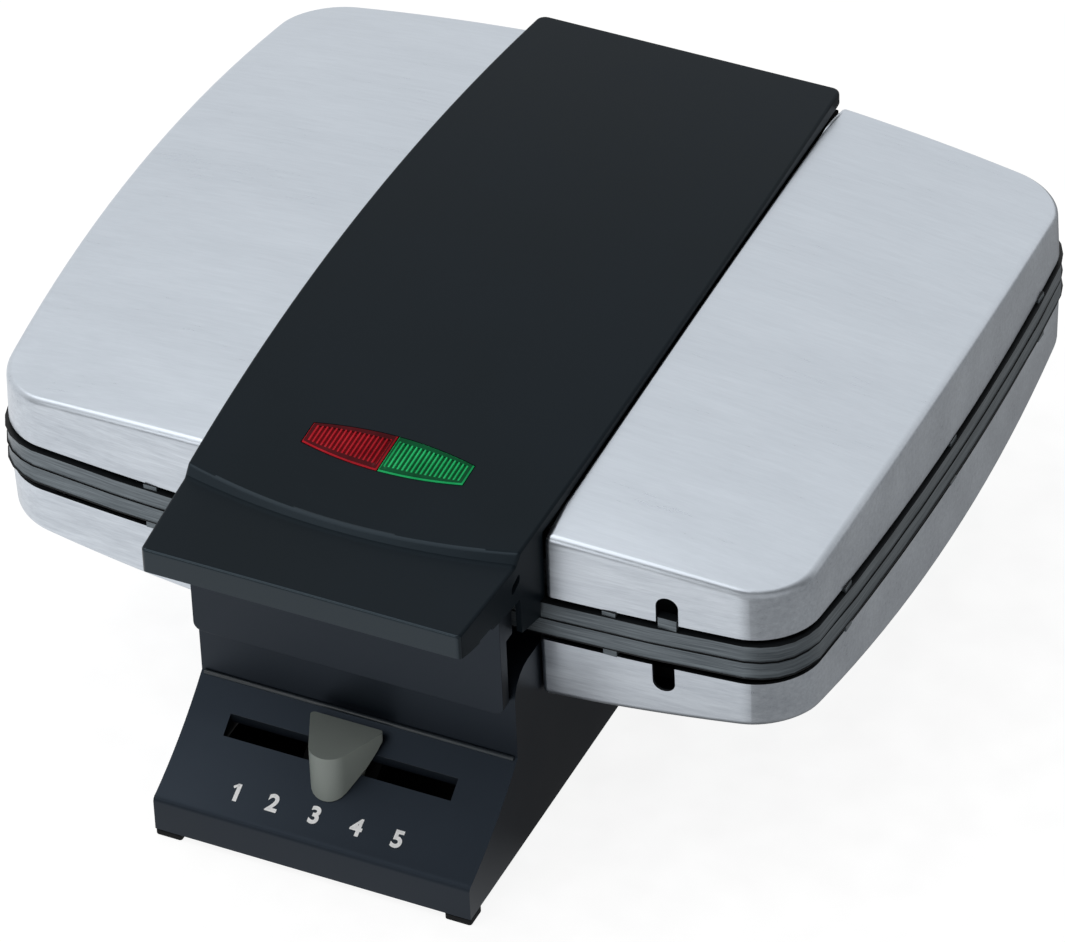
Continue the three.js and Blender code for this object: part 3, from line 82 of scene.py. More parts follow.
# Strap and handle
STRAP_FRONT = -172.2
STRAP_BACK = 121.1
STRAP_END = 54.7
STRAP_BULGE = 5.6
STRAP_BACK_CORNER = 3.0
STRAP_FRONT_CORNER = 1.5
CREST_Y = 3.8
CREST_Z = 127.3
ARCH = 1341.0
STRAP_EDGE = 1.0
STRAP_SKIN = 2.0
STRAP_ROW = 8.9
STRAP_LIFT = 0.3
STEP_Y = -141.5
STEP_SAG = 6.7
STEP_DROP = 2.5
STEP_RUN = 2.6
HANDLE_FRONT_Z = 115.5
HANDLE_EDGE = [
    (-172.2, 106.4),
    (-166.9, 105.1),
    (-161.3, 104.3),
    (-155.0, 103.7),
    (-144.9, 102.7),
    (-134.9, 102.5),
    (-134.5, 88.6),
    (-122.6, 86.2),
    (-122.4, 92.0),
    (-119.5, 92.0),
]
# What cuts across the strap is wider than the strap
CUT_HALF = 70
# The slot in the right-hand cheek and the notch below it are cut from inside the skin to outside it
CHEEK_IN = 48
SEAM_NOTCH_IN = 50
CHEEK_OUT = 64
CHEEK_SLOT_RISE = 2.4
CHEEK_SLOT_ROUND = 1.4

# Lenses
LENS_Y = -108.6
LENS_HALF = 27.8
LENS_END = 4.5
LENS_BULGE = 3.6
LENS_PROUD = 0.4
LENS_DEPTH = 3.2
LENS_SEAM = 0.3
LENS_BORDER = 1.6
LENS_MIDDLE_SHARE = 0.7
LENS_PARTING = 0.2
LENS_CHAMFER = 0.4
RIBS = 16
GROOVE_SHARE = 0.62
GROOVE_DEPTH = 0.5
RIB_EDGE = 0.1

# Baking plates: the middle of a corner's curve, and the skirt round the parting line
CURVE_IN_X = 22
CURVE_IN_Y = 26
SKIRT = 6.45
SKIRT_LAP = 0.05
SKIRT_SHARE_X = 0.9966
SKIRT_SHARE_Y = 0.9959
LUG_SHARE_X = 1.0024
LUG_SHARE_Y = 1.003
CORNER_STEP = 0.28

# The console's slope, from its lower front to the foot of the column
SLOPE_MIDDLE_Y = -157.2
SLOPE_MIDDLE_Z = 27.15
SLOPE_RUN = 37.6
SLOPE_RISE = 24.5
SLOPE_SAG = 2
LIP_RADIUS = 0.75
LIP_HALF = 54.4
LIP_Y = -138.9
LIP_Z = 39.15
LIP_EDGE = 0.3
SCALE_X = (-29.8, -17.1, -2.4, 12.3, 26.6)
SCALE_Y = -167.4
FIGURE_SIZE = 8.0
FIGURE_SWELL = 0.28
INK_HALF = 0.04
INK_LIFT = 0.05


def mm(x, y, z):
    """A place in millimetres as a vector in the frame's metres."""
    return Vector((x * MM, (y + SHIFT) * MM, z * MM))


def arch_z(y):
    return CREST_Z - ARCH + math.sqrt(ARCH**2 - (y - CREST_Y) ** 2)


def strap_half(y):
    share = (y - (STRAP_FRONT + STRAP_BACK) / 2) / ((STRAP_BACK - STRAP_FRONT) / 2)
    return STRAP_END + STRAP_BULGE * (1 - share**2)


def strap_under(y):
    """The strap's lower edge: along the handle, down the cheek, then just above the steel's crown."""
    for (y0, z0), (y1, z1) in zip(HANDLE_EDGE, HANDLE_EDGE[1:]):
        if y <= y1:
            return z0 + (z1 - z0) * (y - y0) / (y1 - y0)
    along = CROWN_Y * (min(abs(y), BODY_Y - FRONT_BULGE) / BODY_Y) ** 2
    across = CROWN_X * (strap_half(y) / BODY_X) ** 2
    return UPPER_RIM + COVER_RISE - across - along + STRAP_LIFT


# Modelling by hand: primitives, edit-mode operators and applied modifiers


def alone(piece):
    if bpy.context.object and bpy.context.object.mode != "OBJECT":
        bpy.ops.object.mode_set(mode="OBJECT")
    bpy.ops.object.select_all(action="DESELECT")
    piece.select_set(True)
    bpy.context.view_layer.objects.active = piece


def settle(piece):
    alone(piece)
    bpy.ops.object.transform_apply(location=True, rotation=True, scale=True)
    return piece


def add_block(name, low, high):
    bpy.ops.object.select_all(action="DESELECT")
    a, b = mm(*low), mm(*high)
    bpy.ops.mesh.primitive_cube_add(size=1, location=(a + b) / 2, scale=b - a)
    block = bpy.context.object
    block.name = name
    return settle(block)


def add_rod(name, radius, half, y, z, sides):
    """A round rod along X, as long to the left as to the right."""
    bpy.ops.object.select_all(action="DESELECT")
    bpy.ops.mesh.primitive_cylinder_add(
        vertices=sides,
        radius=radius * MM,
        depth=2 * half * MM,
        location=mm(0, y, z),
        rotation=(0, math.pi / 2, 0),
    )
    rod = bpy.context.object
    rod.name = name
    return settle(rod)


def edit(piece):
    alone(piece)
    bpy.ops.object.mode_set(mode="EDIT")
    bpy.ops.mesh.select_mode(type="VERT")
    bpy.ops.mesh.select_all(action="DESELECT")


def leave():
    bpy.ops.object.mode_set(mode="OBJECT")


def at(v):
    """A vertex's place in millimetres."""
    return Vector((v.co.x / MM, v.co.y / MM - SHIFT, v.co.z / MM))


def pick(piece, kind, test):
    """Selects the vertices, edges or faces whose place passes the test, and nothing else."""
    bpy.ops.mesh.select_mode(type=kind)
    bpy.ops.mesh.select_all(action="DESELECT")
    mesh = bmesh.from_edit_mesh(piece.data)
    if kind == "VERT":
        for v in mesh.verts:
            v.select_set(test(at(v)))
    elif kind == "EDGE":
        for e in mesh.edges:
            e.select_set(test(at(e.verts[0]), at(e.verts[1])))
    else:
        for f in mesh.faces:
            centre = sum((at(v) for v in f.verts), Vector()) / len(f.verts)
            f.select_set(test(centre, f.normal))
    mesh.select_flush_mode()
    bmesh.update_edit_mesh(piece.data)


def pick_creases(piece, angle, test):
    """Selects the edges whose two faces turn by more than an angle and whose ends pass the test."""
    bpy.ops.mesh.select_mode(type="EDGE")
    bpy.ops.mesh.select_all(action="DESELECT")
    mesh = bmesh.from_edit_mesh(piece.data)
    mesh.normal_update()
    limit = math.radians(angle)
    for e in mesh.edges:
        turned = len(e.link_faces) == 2 and e.calc_face_angle(0) > limit
        e.select_set(turned and test(at(e.verts[0]), at(e.verts[1])))
    mesh.select_flush_mode()
    bmesh.update_edit_mesh(piece.data)


def pick_faces_whose(piece, test):
    """Selects the faces whose vertices all pass the test."""
    bpy.ops.mesh.select_mode(type="FACE")
    bpy.ops.mesh.select_all(action="DESELECT")
    mesh = bmesh.from_edit_mesh(piece.data)
    for f in mesh.faces:
        f.select_set(all(test(at(v)) for v in f.verts))
    mesh.select_flush_mode()
    bmesh.update_edit_mesh(piece.data)


def slice_rows(piece, places, axis):
    """Cuts rows of edges across the piece."""
    normal = {"X": (1, 0, 0), "Y": (0, 1, 0)}[axis]
    for place in places:
        bpy.ops.mesh.select_all(action="SELECT")
        co = {"X": mm(place, 0, 0), "Y": mm(0, place, 0)}[axis]
        bpy.ops.mesh.bisect(plane_co=co, plane_no=normal)


def rows_of(piece, axis):
    """The piece's vertices by their place along one axis, as {place: [numbers]}."""
    mesh = bmesh.from_edit_mesh(piece.data)
    rows = {}
    for v in mesh.verts:
        rows.setdefault(round(at(v)["XYZ".index(axis)], 2), []).append(v.index)
    return rows


def take(piece, numbers):
    bpy.ops.mesh.select_mode(type="VERT")
    bpy.ops.mesh.select_all(action="DESELECT")
    mesh = bmesh.from_edit_mesh(piece.data)
    mesh.verts.ensure_lookup_table()
    for i in numbers:
        mesh.verts[i].select_set(True)
    mesh.select_flush_mode()
    bmesh.update_edit_mesh(piece.data)


def nudge(x=0.0, y=0.0, z=0.0):
    bpy.ops.transform.translate(value=(x * MM, y * MM, z * MM))


def stretch(x=1.0, y=1.0, z=1.0, about=(0, 0, 0)):
    bpy.ops.transform.resize(value=(x, y, z), center_override=mm(*about))


def bevel(radius, segments):
    bpy.ops.mesh.bevel(offset=radius * MM, segments=segments, affect="EDGES")


def face_outwards():
    bpy.ops.mesh.select_all(action="SELECT")
    bpy.ops.mesh.normals_make_consistent(inside=False)


def paint(piece, number, test):
    """Gives the faces that pass the test the material with that number on the piece."""
    pick(piece, "FACE", test)
    piece.active_material_index = number
    bpy.ops.object.material_slot_assign()


def modify(piece, kind, **settings):
    alone(piece)
    modifier = piece.modifiers.new(kind.lower(), kind)
    for key, value in settings.items():
        setattr(modifier, key, value)
    bpy.ops.object.modifier_apply(modifier=modifier.name)


def carve(piece, *tools):
    for tool in tools:
        modify(piece, "BOOLEAN", object=tool, operation="DIFFERENCE", solver="EXACT")
        bpy.data.objects.remove(tool)


def round_over(piece, radius, segments, angle=30):
    modify(
        piece,
        "BEVEL",
        width=radius * MM,
        segments=segments,
        limit_method="ANGLE",
        angle_limit=math.radians(angle),
    )


def clean(piece):
    """Merges what lies less than 0.01 mm apart, so that no sliver is left."""
    edit(piece)
    bpy.ops.mesh.select_all(action="SELECT")
    bpy.ops.mesh.remove_doubles(threshold=TIGHT * MM)
    bpy.ops.mesh.dissolve_degenerate(threshold=TIGHT * MM)
    leave()
    return piece


def smooth(piece, angle=35):
    alone(piece)
    bpy.ops.object.shade_smooth_by_angle(angle=math.radians(angle))


def even_shading(piece):
    """Keeps large faces flat in the light and turns the shading within the small faces of rounded edges."""
    modify(piece, "WEIGHTED_NORMAL", mode="FACE_AREA", weight=50, keep_sharp=True)


def from_node(name, node, radius, segments=2):
    """A copy of a CAD piece, welded, with its flat faces made whole and its edges eased."""
    piece = bpy.data.objects.new(name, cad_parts[node].data.copy())
    bpy.context.scene.collection.objects.link(piece)
    piece.data.materials.clear()
    edit(piece)
    bpy.ops.mesh.select_all(action="SELECT")
    bpy.ops.mesh.remove_doubles(threshold=WELD * MM)
    bpy.ops.mesh.dissolve_limited(angle_limit=math.radians(FLAT))
    leave()
    round_over(piece, radius, segments, angle=32)
    smooth(piece)
    even_shading(piece)
    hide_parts(node)
    return piece


# Materials


# The kind of node that turns a number into a colour
RAMP = "ShaderNodeValToRGB"


def linear(code):
    parts = [int(code[i : i + 2], 16) / 255 for i in (1, 3, 5)]
    return [c / 12.92 if c <= 0.04045 else ((c + 0.055) / 1.055) ** 2.4 for c in parts] + [1]


def add(tree, kind, settings=None, links=None, stops=(), **values):
    """Adds a node with its settings, its links from other nodes, a ramp's stops and socket constants."""
    made = tree.nodes.new(kind)
    for key, value in (settings or {}).items():
        setattr(made, key, value)
    for key, value in values.items():
        socket = int(key[1:]) if key[0] == "_" else key.replace("_", " ")
        made.inputs[socket].default_value = value
    for key, source in (links or {}).items():
        tree.links.new(source, made.inputs[key])
    for count, (place, code) in enumerate(stops):
        # A ramp is made with two stops, which become the first and the last
        between = 0 < count < len(stops) - 1
        ends = made.color_ramp.elements
        stop = ends.new(place) if between else ends[0 if count == 0 else -1]
        stop.position, stop.color = place, linear(code)
    return made


def material(name):
    made = bpy.data.materials.new(name)
    made.use_nodes = True
    tree = made.node_tree
    place = add(tree, "ShaderNodeTexCoord").outputs["Object"]
    return made, tree, tree.nodes["Principled BSDF"], place


def brushed_stainless():
    """Brushed stainless sheet: fine scratches along X that stretch the highlights, with cloudy smears."""
    made, tree, shader, place = material("brushed_stainless_sheet")
    # Scratches 0.35 mm apart and about 25 mm long, under soft streaks 1.5 mm wide and cloudy smears
    patterns = []
    for scale, detail, roughness in (
        ((40, 2800, 2800), 3, 0.6),
        ((14, 60, 60), 4, 0.55),
        ((28, 650, 650), 3, 0.6),
    ):
        drawn = add(tree, "ShaderNodeMapping", links={"Vector": place}, Scale=scale)
        pattern = add(
            tree,
            "ShaderNodeTexNoise",
            links={"Vector": drawn.outputs[0]},
            Scale=1,
            Detail=detail,
            Roughness=roughness,
        )
        patterns.append(pattern.outputs["Fac"])
    scratch, smear, streak = patterns
    number = {"data_type": "FLOAT"}
    lines = add(tree, "ShaderNodeMix", number, {"A": scratch, "B": streak}, Factor=0.6)
    both = add(tree, "ShaderNodeMix", number, {"A": lines.outputs[0], "B": smear}, Factor=0.35)
    # Painted light: the marks' colour is strong on the walls and faint on the top, following which way each
    # face turns, as the light shows them
    normal = add(tree, "ShaderNodeNewGeometry").outputs["Normal"]
    facing = add(tree, "ShaderNodeSeparateXYZ", links={"Vector": normal})
    share = add(
        tree,
        "ShaderNodeMapRange",
        links={"Value": facing.outputs["Z"]},
        From_Min=0.3,
        From_Max=0.9,
        To_Min=1,
        To_Max=0.3,
    )
    marks = add(
        tree, RAMP, links={"Fac": both.outputs[0]}, stops=((0.35, "#bcc3cc"), (0.65, "#dfe6ee"))
    ).outputs[0]
    tone = add(
        tree,
        "ShaderNodeMix",
        {"data_type": "RGBA"},
        {0: share.outputs[0], 7: marks},
        _6=linear("#ced6df"),
    )
    tree.links.new(tone.outputs[2], shader.inputs["Base Color"])
    rough = add(
        tree,
        "ShaderNodeMapRange",
        links={"Value": both.outputs[0]},
        From_Min=0.35,
        From_Max=0.65,
        To_Min=0.27,
        To_Max=0.36,
    )
    tree.links.new(rough.outputs[0], shader.inputs["Roughness"])
    bump = add(tree, "ShaderNodeBump", links={"Height": scratch}, Strength=0.12, Distance=0.00003)
    tree.links.new(bump.outputs[0], shader.inputs["Normal"])
    shader.inputs["Metallic"].default_value = 1
    return made


def grained_plastic(name, code, light, roughness, grain=0.5, depth=0.12, specular=0.16, tint="#ffffff"):
    """Moulded plastic: a fine spark-eroded grain that softens the highlights, with a faint change of tone."""
    made, tree, shader, place = material(name)
    fine = add(
        tree,
        "ShaderNodeTexNoise",
        links={"Vector": place},
        Scale=1000 / grain,
        Detail=2,
        Roughness=0.5,
    )
    broad = add(tree, "ShaderNodeTexNoise", links={"Vector": place}, Scale=18, Detail=3, Roughness=0.5)
    tone = add(
        tree, RAMP, links={"Fac": broad.outputs["Fac"]}, stops=((0.35, code), (0.65, light))
    ).outputs[0]
    tree.links.new(tone, shader.inputs["Base Color"])
    rough = add(
        tree,
        "ShaderNodeMapRange",
        links={"Value": broad.outputs["Fac"]},
        From_Min=0.3,
        From_Max=0.7,
        To_Min=roughness - 0.03,
        To_Max=roughness + 0.04,
    )
    tree.links.new(rough.outputs[0], shader.inputs["Roughness"])
    bump = add(
        tree,
        "ShaderNodeBump",
        links={"Height": fine.outputs["Fac"]},
        Strength=depth,
        Distance=0.00004,
    )
    tree.links.new(bump.outputs[0], shader.inputs["Normal"])
    shader.inputs["Specular IOR Level"].default_value = specular
    shader.inputs["Specular Tint"].default_value = linear(tint)
    return made


def cast_aluminium(name, dark, light, metallic, specular, marks):
    """Die-cast aluminium, coated or ground bare: a sandy grain that breaks the sheen, over slower marks."""
    made, tree, shader, place = material(name)
    sand = add(tree, "ShaderNodeTexNoise", links={"Vector": place}, Scale=1400, Detail=3, Roughness=0.6)
    drawn = add(tree, "ShaderNodeMapping", links={"Vector": place}, Scale=marks)
    broad = add(
        tree,
        "ShaderNodeTexNoise",
        links={"Vector": drawn.outputs[0]},
        Scale=1,
        Detail=4,
        Roughness=0.6,
    )
    tone = add(
        tree, RAMP, links={"Fac": broad.outputs["Fac"]}, stops=((0.3, dark), (0.7, light))
    ).outputs[0]
    tree.links.new(tone, shader.inputs["Base Color"])
    bump = add(
        tree,
        "ShaderNodeBump",
        links={"Height": sand.outputs["Fac"]},
        Strength=0.25,
        Distance=0.00006,
    )
    tree.links.new(bump.outputs[0], shader.inputs["Normal"])
    shader.inputs["Metallic"].default_value = metallic
    shader.inputs["Roughness"].default_value = 0.4
    shader.inputs["Specular IOR Level"].default_value = specular
    return made


def tinted_lens(name, dark, light, glow):
    """Tinted clear plastic over a lamp: glossy and faintly glowing. The ribs' copies are painted lighter, a
    painted highlight where light gathers along the ribs.
    """
    made, tree, shader, place = material(name)
    cloud = add(tree, "ShaderNodeTexNoise", links={"Vector": place}, Scale=90, Detail=3, Roughness=0.6)
    colour = add(
        tree, RAMP, links={"Fac": cloud.outputs["Fac"]}, stops=((0.3, dark), (0.7, light))
    ).outputs[0]
    tree.links.new(colour, shader.inputs["Base Color"])
    tree.links.new(colour, shader.inputs["Emission Color"])
    shader.inputs["Emission Strength"].default_value = glow
    shader.inputs["Roughness"].default_value = 0.2
    shader.inputs["Specular IOR Level"].default_value = 0.04
    return made


def plain_metal(name, dark, light, roughness, scale):
    """Plated or oxidised steel: a mottled sheen from its finish."""
    made, tree, shader, place = material(name)
    mottle = add(
        tree,
        "ShaderNodeTexNoise",
        links={"Vector": place},
        Scale=scale,
        Detail=4,
        Roughness=0.6,
    )
    tone = add(
        tree, RAMP, links={"Fac": mottle.outputs["Fac"]}, stops=((0.3, dark), (0.7, light))
    ).outputs[0]
    tree.links.new(tone, shader.inputs["Base Color"])
    shader.inputs["Metallic"].default_value = 1
    shader.inputs["Roughness"].default_value = roughness
    return made


def printed_ink():
    """Pad-printed white ink: a thin matt film with slightly uneven cover."""
    made, tree, shader, place = material("pad_printed_white_ink")
    cover = add(tree, "ShaderNodeTexNoise", links={"Vector": place}, Scale=900, Detail=2, Roughness=0.5)
    tone = add(
        tree, RAMP, links={"Fac": cover.outputs["Fac"]}, stops=((0.3, "#f0f1f2"), (0.6, "#ffffff"))
    ).outputs[0]
    tree.links.new(tone, shader.inputs["Base Color"])
    shader.inputs["Roughness"].default_value = 0.55
    return made


def clear_glass():
    """Lamp glass, slightly warm."""
    made, tree, shader, place = material("lamp_glass")
    cloud = add(tree, "ShaderNodeTexNoise", links={"Vector": place}, Scale=200, Detail=2, Roughness=0.5)
    tone = add(
        tree, RAMP, links={"Fac": cloud.outputs["Fac"]}, stops=((0.3, "#f0d4b6"), (0.7, "#ffeedd"))
    ).outputs[0]
    tree.links.new(tone, shader.inputs["Base Color"])
    shader.inputs["Transmission Weight"].default_value = 0.9
    shader.inputs["Roughness"].default_value = 0.05
    return made


steel = brushed_stainless()
# The blacks have a cool sheen, as the room's light has on the real one
strap_black = grained_plastic(
    "satin_black_abs", "#0f161b", "#12191f", 0.42, specular=0.12, tint="#d3edff"
)
handle_edge_black = grained_plastic(
    "polished_black_abs", "#0c1115", "#10161b", 0.24, specular=0.54, tint="#d3edff"
)
riser_black = grained_plastic(
    "semi_gloss_black_abs", "#0f151a", "#12191f", 0.34, specular=0.36, tint="#d3edff"
)
console_black = grained_plastic(
    "satin_black_pbt", "#070a0f", "#0a0e14", 0.4, specular=0.42, tint="#cbe3ff"
)
# A lighter black for the slot's rim and the crease lip: a painted highlight along these edges
edge_highlight_black = grained_plastic("painted_highlight_black_pbt", "#2b3136", "#3a4147", 0.3, specular=0.5)
# Darker than the plastic's own black: painted shade for the carriage in the slot and the lid's chassis
shadow_black = grained_plastic("painted_shade_black_pom", "#030304", "#060607", 0.6, specular=0.05)
taupe = grained_plastic("taupe_grey_abs", "#7f8682", "#8d948f", 0.36, grain=0.4, specular=0.4)
rubber = grained_plastic("black_rubber", "#151617", "#1b1c1e", 0.8, grain=0.7, depth=0.3)
ivory = grained_plastic("ivory_phenolic", "#c9c2ae", "#d8d2c0", 0.5)
coated = cast_aluminium("non_stick_cast_aluminium", "#131618", "#1e2124", 0, 0.25, (40, 40, 40))
# The grinder's marks run round the edge, 0.6 mm apart
ground_edge = cast_aluminium(
    "ground_cast_aluminium_edge", "#525a60", "#828b91", 0.6, 0.4, (50, 50, 1600)
)
red_deep = tinted_lens("red_polycarbonate", "#5a040e", "#730713", 0.05)
# The rib tones are painted lighter than the deep ones: a painted highlight on the rib tops and the cap's
# chamfer
red_rib_highlight = tinted_lens("red_polycarbonate_rib_highlight", "#9c1420", "#bd2631", 0.05)
red_edge = tinted_lens("red_polycarbonate_border", "#430d13", "#5a141b", 0)
green_deep = tinted_lens("green_polycarbonate", "#044624", "#07582f", 0.06)
green_rib_highlight = tinted_lens("green_polycarbonate_rib_highlight", "#159d56", "#2fc173", 0.06)
green_edge = tinted_lens("green_polycarbonate_border", "#084527", "#0b5a34", 0)
zinc = plain_metal("zinc_plated_steel", "#8f9396", "#b4b8ba", 0.35, 120)
sheath = plain_metal("oxidised_steel_sheath", "#3a3734", "#5a544e", 0.5, 200)
blackened = plain_metal("blackened_steel_rod", "#141415", "#232426", 0.45, 150)
ink = printed_ink()
glass = clear_glass()


def finish_piece(piece, body, skin):
    piece.data.materials.clear()
    piece.data.materials.append(skin)
    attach(piece, body)


# Steel covers


def cover_block(name, side, rise, rim, inner):
    """The cover's block, open at its rim, with rounded corners and a rounded edge round its crown."""
    top = rim + rise * COVER_RISE
    low = (min(side * inner, side * BODY_X), -BODY_Y, min(rim, top))
    high = (max(side * inner, side * BODY_X), BODY_Y, max(rim, top))
    piece = add_block(name, low, high)
    edit(piece)
    # Corners of the plan
    tall = lambda a, b: abs(a.z - b.z) > COVER_RISE / 2
    pick(piece, "EDGE", lambda a, b: tall(a, b) and abs(a.x) > BODY_X - CLOSE)
    bevel(CORNER, segments=14)
    pick(piece, "EDGE", lambda a, b: tall(a, b) and abs(a.x) < inner + CLOSE)
    bevel(INNER_CORNER, segments=6)
    # The open rim
    pick(piece, "FACE", lambda c, n: abs(c.z - rim) < CLOSE and abs(n.z) > 0.9)
    bpy.ops.mesh.delete(type="FACE")
    # The edge of the crown, softer round the outside than beside the strap
    on_top = lambda a, b: abs(a.z - top) < TIGHT and abs(b.z - top) < TIGHT
    inside = lambda a, b: max(abs(a.x), abs(b.x)) < inner + TIGHT
    beside = lambda a, b: inside(a, b) and abs(a.y - b.y) > BODY_Y
    pick(piece, "EDGE", lambda a, b: on_top(a, b) and not beside(a, b))
    bevel(EDGE_RADIUS, segments=6)
    pick(piece, "EDGE", lambda a, b: on_top(a, b) and inside(a, b))
    bevel(INNER_EDGE, segments=3)
    return piece


def crown_cover(piece, side, rise, rim, inner_at):
    """Cuts the block in rows, then leans its walls, bulges its plan and crowns its top."""
    inner = inner_at(0)
    columns, rows = 12, 11
    slice_rows(piece, [side * (inner + (BODY_X - inner) * k / columns) for k in range(1, columns)], "X")
    slice_rows(piece, [BODY_Y * (k / rows) for k in range(1 - rows, rows)], "Y")
    by_x, by_y = rows_of(piece, "X"), rows_of(piece, "Y")
    mesh = bmesh.from_edit_mesh(piece.data)
    mesh.verts.ensure_lookup_table()
    raised = {v.index for v in mesh.verts if abs(at(v).z - rim) > COVER_RISE / 2}
    take(piece, raised)
    stretch(x=1 - DRAFT / (BODY_X - inner), y=1 - DRAFT / BODY_Y, about=(side * inner, 0, 0))
    for x, numbers in by_x.items():
        share = (x / BODY_X) ** 2
        take(piece, numbers)
        stretch(y=1 - FRONT_BULGE * share / BODY_Y)
        take(piece, [i for i in numbers if i in raised])
        nudge(z=-rise * CROWN_X * share)
    for y, numbers in by_y.items():
        share = (y / BODY_Y) ** 2
        outer = BODY_X - SIDE_BULGE * share
        width = (outer - inner_at(y)) / (BODY_X - inner)
        take(piece, numbers)
        stretch(x=width)
        nudge(x=side * (inner_at(y) - width * inner))
        take(piece, [i for i in numbers if i in raised])
        nudge(z=-rise * CROWN_Y * share)
    face_outwards()
    leave()


def pass_tool(side, rise, rim, inner):
    """What is cut from the wall beside the strap, where the machine's inside passes from wing to wing."""
    half_length, height, into_wing, past_rim = 115, 17, 5, 9
    reach = side * (inner + into_wing)
    end, mouth = rim + rise * height, rim - rise * past_rim
    low = (min(0, reach), -half_length, min(end, mouth))
    high = (max(0, reach), half_length, max(end, mouth))
    return add_block("pass", low, high)


def notch_tool(rise, rim):
    """What is cut for the notch in front: open at the rim, with a round end."""
    left = UPPER_NOTCH_X if rise > 0 else LOWER_NOTCH_X
    before, behind = 9, 12
    end, mouth = rim + rise * NOTCH_DEPTH, rim - rise * OVERRUN
    low = (left, -BODY_Y - before, min(end, mouth))
    high = (left + NOTCH_WIDTH, -BODY_Y + behind, max(end, mouth))
    tool = add_block("notch", low, high)
    edit(tool)
    at_end = lambda p: abs(p.z - end) < CLOSE
    pick(tool, "EDGE", lambda a, b: at_end(a) and at_end(b) and abs(a.y - b.y) > CLOSE)
    bevel(NOTCH_ROUND, segments=10)
    leave()
    return tool


def steel_cover(side, rise):
    """A pressed cover, which rises from its rim on the lid and hangs from it on the base."""
    upper = rise > 0
    name = ("upper" if upper else "lower") + ("_right" if side > 0 else "_left")
    rim = UPPER_RIM if upper else LOWER_RIM
    inner_at = (lambda y: strap_half(y) + STRAP_SEAM) if upper else (lambda y: BASE_X + BASE_SEAM)
    piece = cover_block("steel_" + name, side, rise, rim, inner_at(0))
    crown_cover(piece, side, rise, rim, inner_at)
    modify(piece, "SOLIDIFY", thickness=SHEET * MM, offset=-1, use_even_offset=True)
    tools = [pass_tool(side, rise, rim, inner_at(0))]
    if side > 0:
        tools.append(notch_tool(rise, rim))
    carve(piece, *tools)
    # The carved faces are split into convex ones, which every exporter cuts into sound triangles
    edit(piece)
    bpy.ops.mesh.select_all(action="SELECT")
    bpy.ops.mesh.vert_connect_concave()
    leave()
    smooth(piece, angle=40)
    even_shading(piece)
    finish_piece(piece, "lid" if upper else "base", steel)
    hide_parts("steel_cover_" + name)


for side in (-1, 1):
    for rise in (-1, 1):
        steel_cover(side, rise)


# Strap with its handle


def step_tool():
    """What is cut to leave the handle lower: a block with a bowed, leaning back and a sloping foot."""
    above, columns = 12, 12
    tread = arch_z(STEP_Y) - STEP_DROP
    front = STRAP_FRONT - OVERRUN
    tool = add_block("step", (-CUT_HALF, front, tread), (CUT_HALF, STEP_Y, tread + above))
    edit(tool)
    slice_rows(tool, [CUT_HALF * k / columns for k in range(1 - columns, columns)], "X")
    span = strap_half(STEP_Y)
    for x, numbers in rows_of(tool, "X").items():
        take(tool, numbers)
        stretch(y=1 + STEP_SAG * (x / span) ** 2 / (STEP_Y - front), about=(0, front, 0))
    heights = rows_of(tool, "Z")
    low, high = min(heights), max(heights)
    pick(tool, "VERT", lambda p: p.y > STEP_Y - CLOSE and abs(p.z - low) < CLOSE)
    nudge(y=-STEP_RUN)
    pick(tool, "VERT", lambda p: p.y > STEP_Y - CLOSE and abs(p.z - high) < CLOSE)
    nudge(y=STEP_RUN * (above - STEP_DROP) / STEP_DROP)
    pick(tool, "VERT", lambda p: p.y < front + CLOSE and abs(p.z - low) < CLOSE)
    nudge(z=-(tread - HANDLE_FRONT_Z) * (STEP_Y - front) / (STEP_Y - STRAP_FRONT))
    leave()
    return tool


def under_tool():
    """What is cut from below: its top follows the handle's lower edge, the cheeks and the steel's crown."""
    bottom, top = 70, 80
    low = (-CUT_HALF, STRAP_FRONT - OVERRUN, bottom)
    high = (CUT_HALF, STRAP_BACK + OVERRUN, top)
    tool = add_block("under", low, high)
    edit(tool)
    profile = [y for y, z in HANDLE_EDGE[1:]] + [HANDLE_EDGE[-1][0] + CLOSE]
    first, rows = -115.0, 27
    slice_rows(tool, profile + [first + STRAP_ROW * k for k in range(rows)], "Y")
    heights = rows_of(tool, "Z")
    raised = set(heights[max(heights)])
    for y, numbers in rows_of(tool, "Y").items():
        take(tool, [i for i in numbers if i in raised])
        nudge(z=strap_under(y) - top)
    leave()
    return tool


def boat(name, x0, x1, grow, low, high, columns, rows=()):
    """A block over part of the lamps' window, cut in columns, with its long sides bowed outwards."""
    half, end = LENS_HALF + grow, LENS_END + grow
    piece = add_block(name, (x0, LENS_Y - end, low), (x1, LENS_Y + end, high))
    edit(piece)
    slice_rows(piece, columns, "X")
    slice_rows(piece, [LENS_Y + end * share for share in rows], "Y")
    for x, numbers in rows_of(piece, "X").items():
        take(piece, numbers)
        stretch(y=1 + LENS_BULGE * (1 - (x / half) ** 2) / end, about=(0, LENS_Y, 0))
    return piece


def window_tool():
    """What is cut for the lenses, with a seam round them."""
    low, high = 100, 140
    half, column, columns = LENS_HALF + LENS_SEAM, 3.5, 8
    places = [column * k for k in range(1 - columns, columns)]
    tool = boat("window", -half, half, LENS_SEAM, low, high, places)
    leave()
    return tool


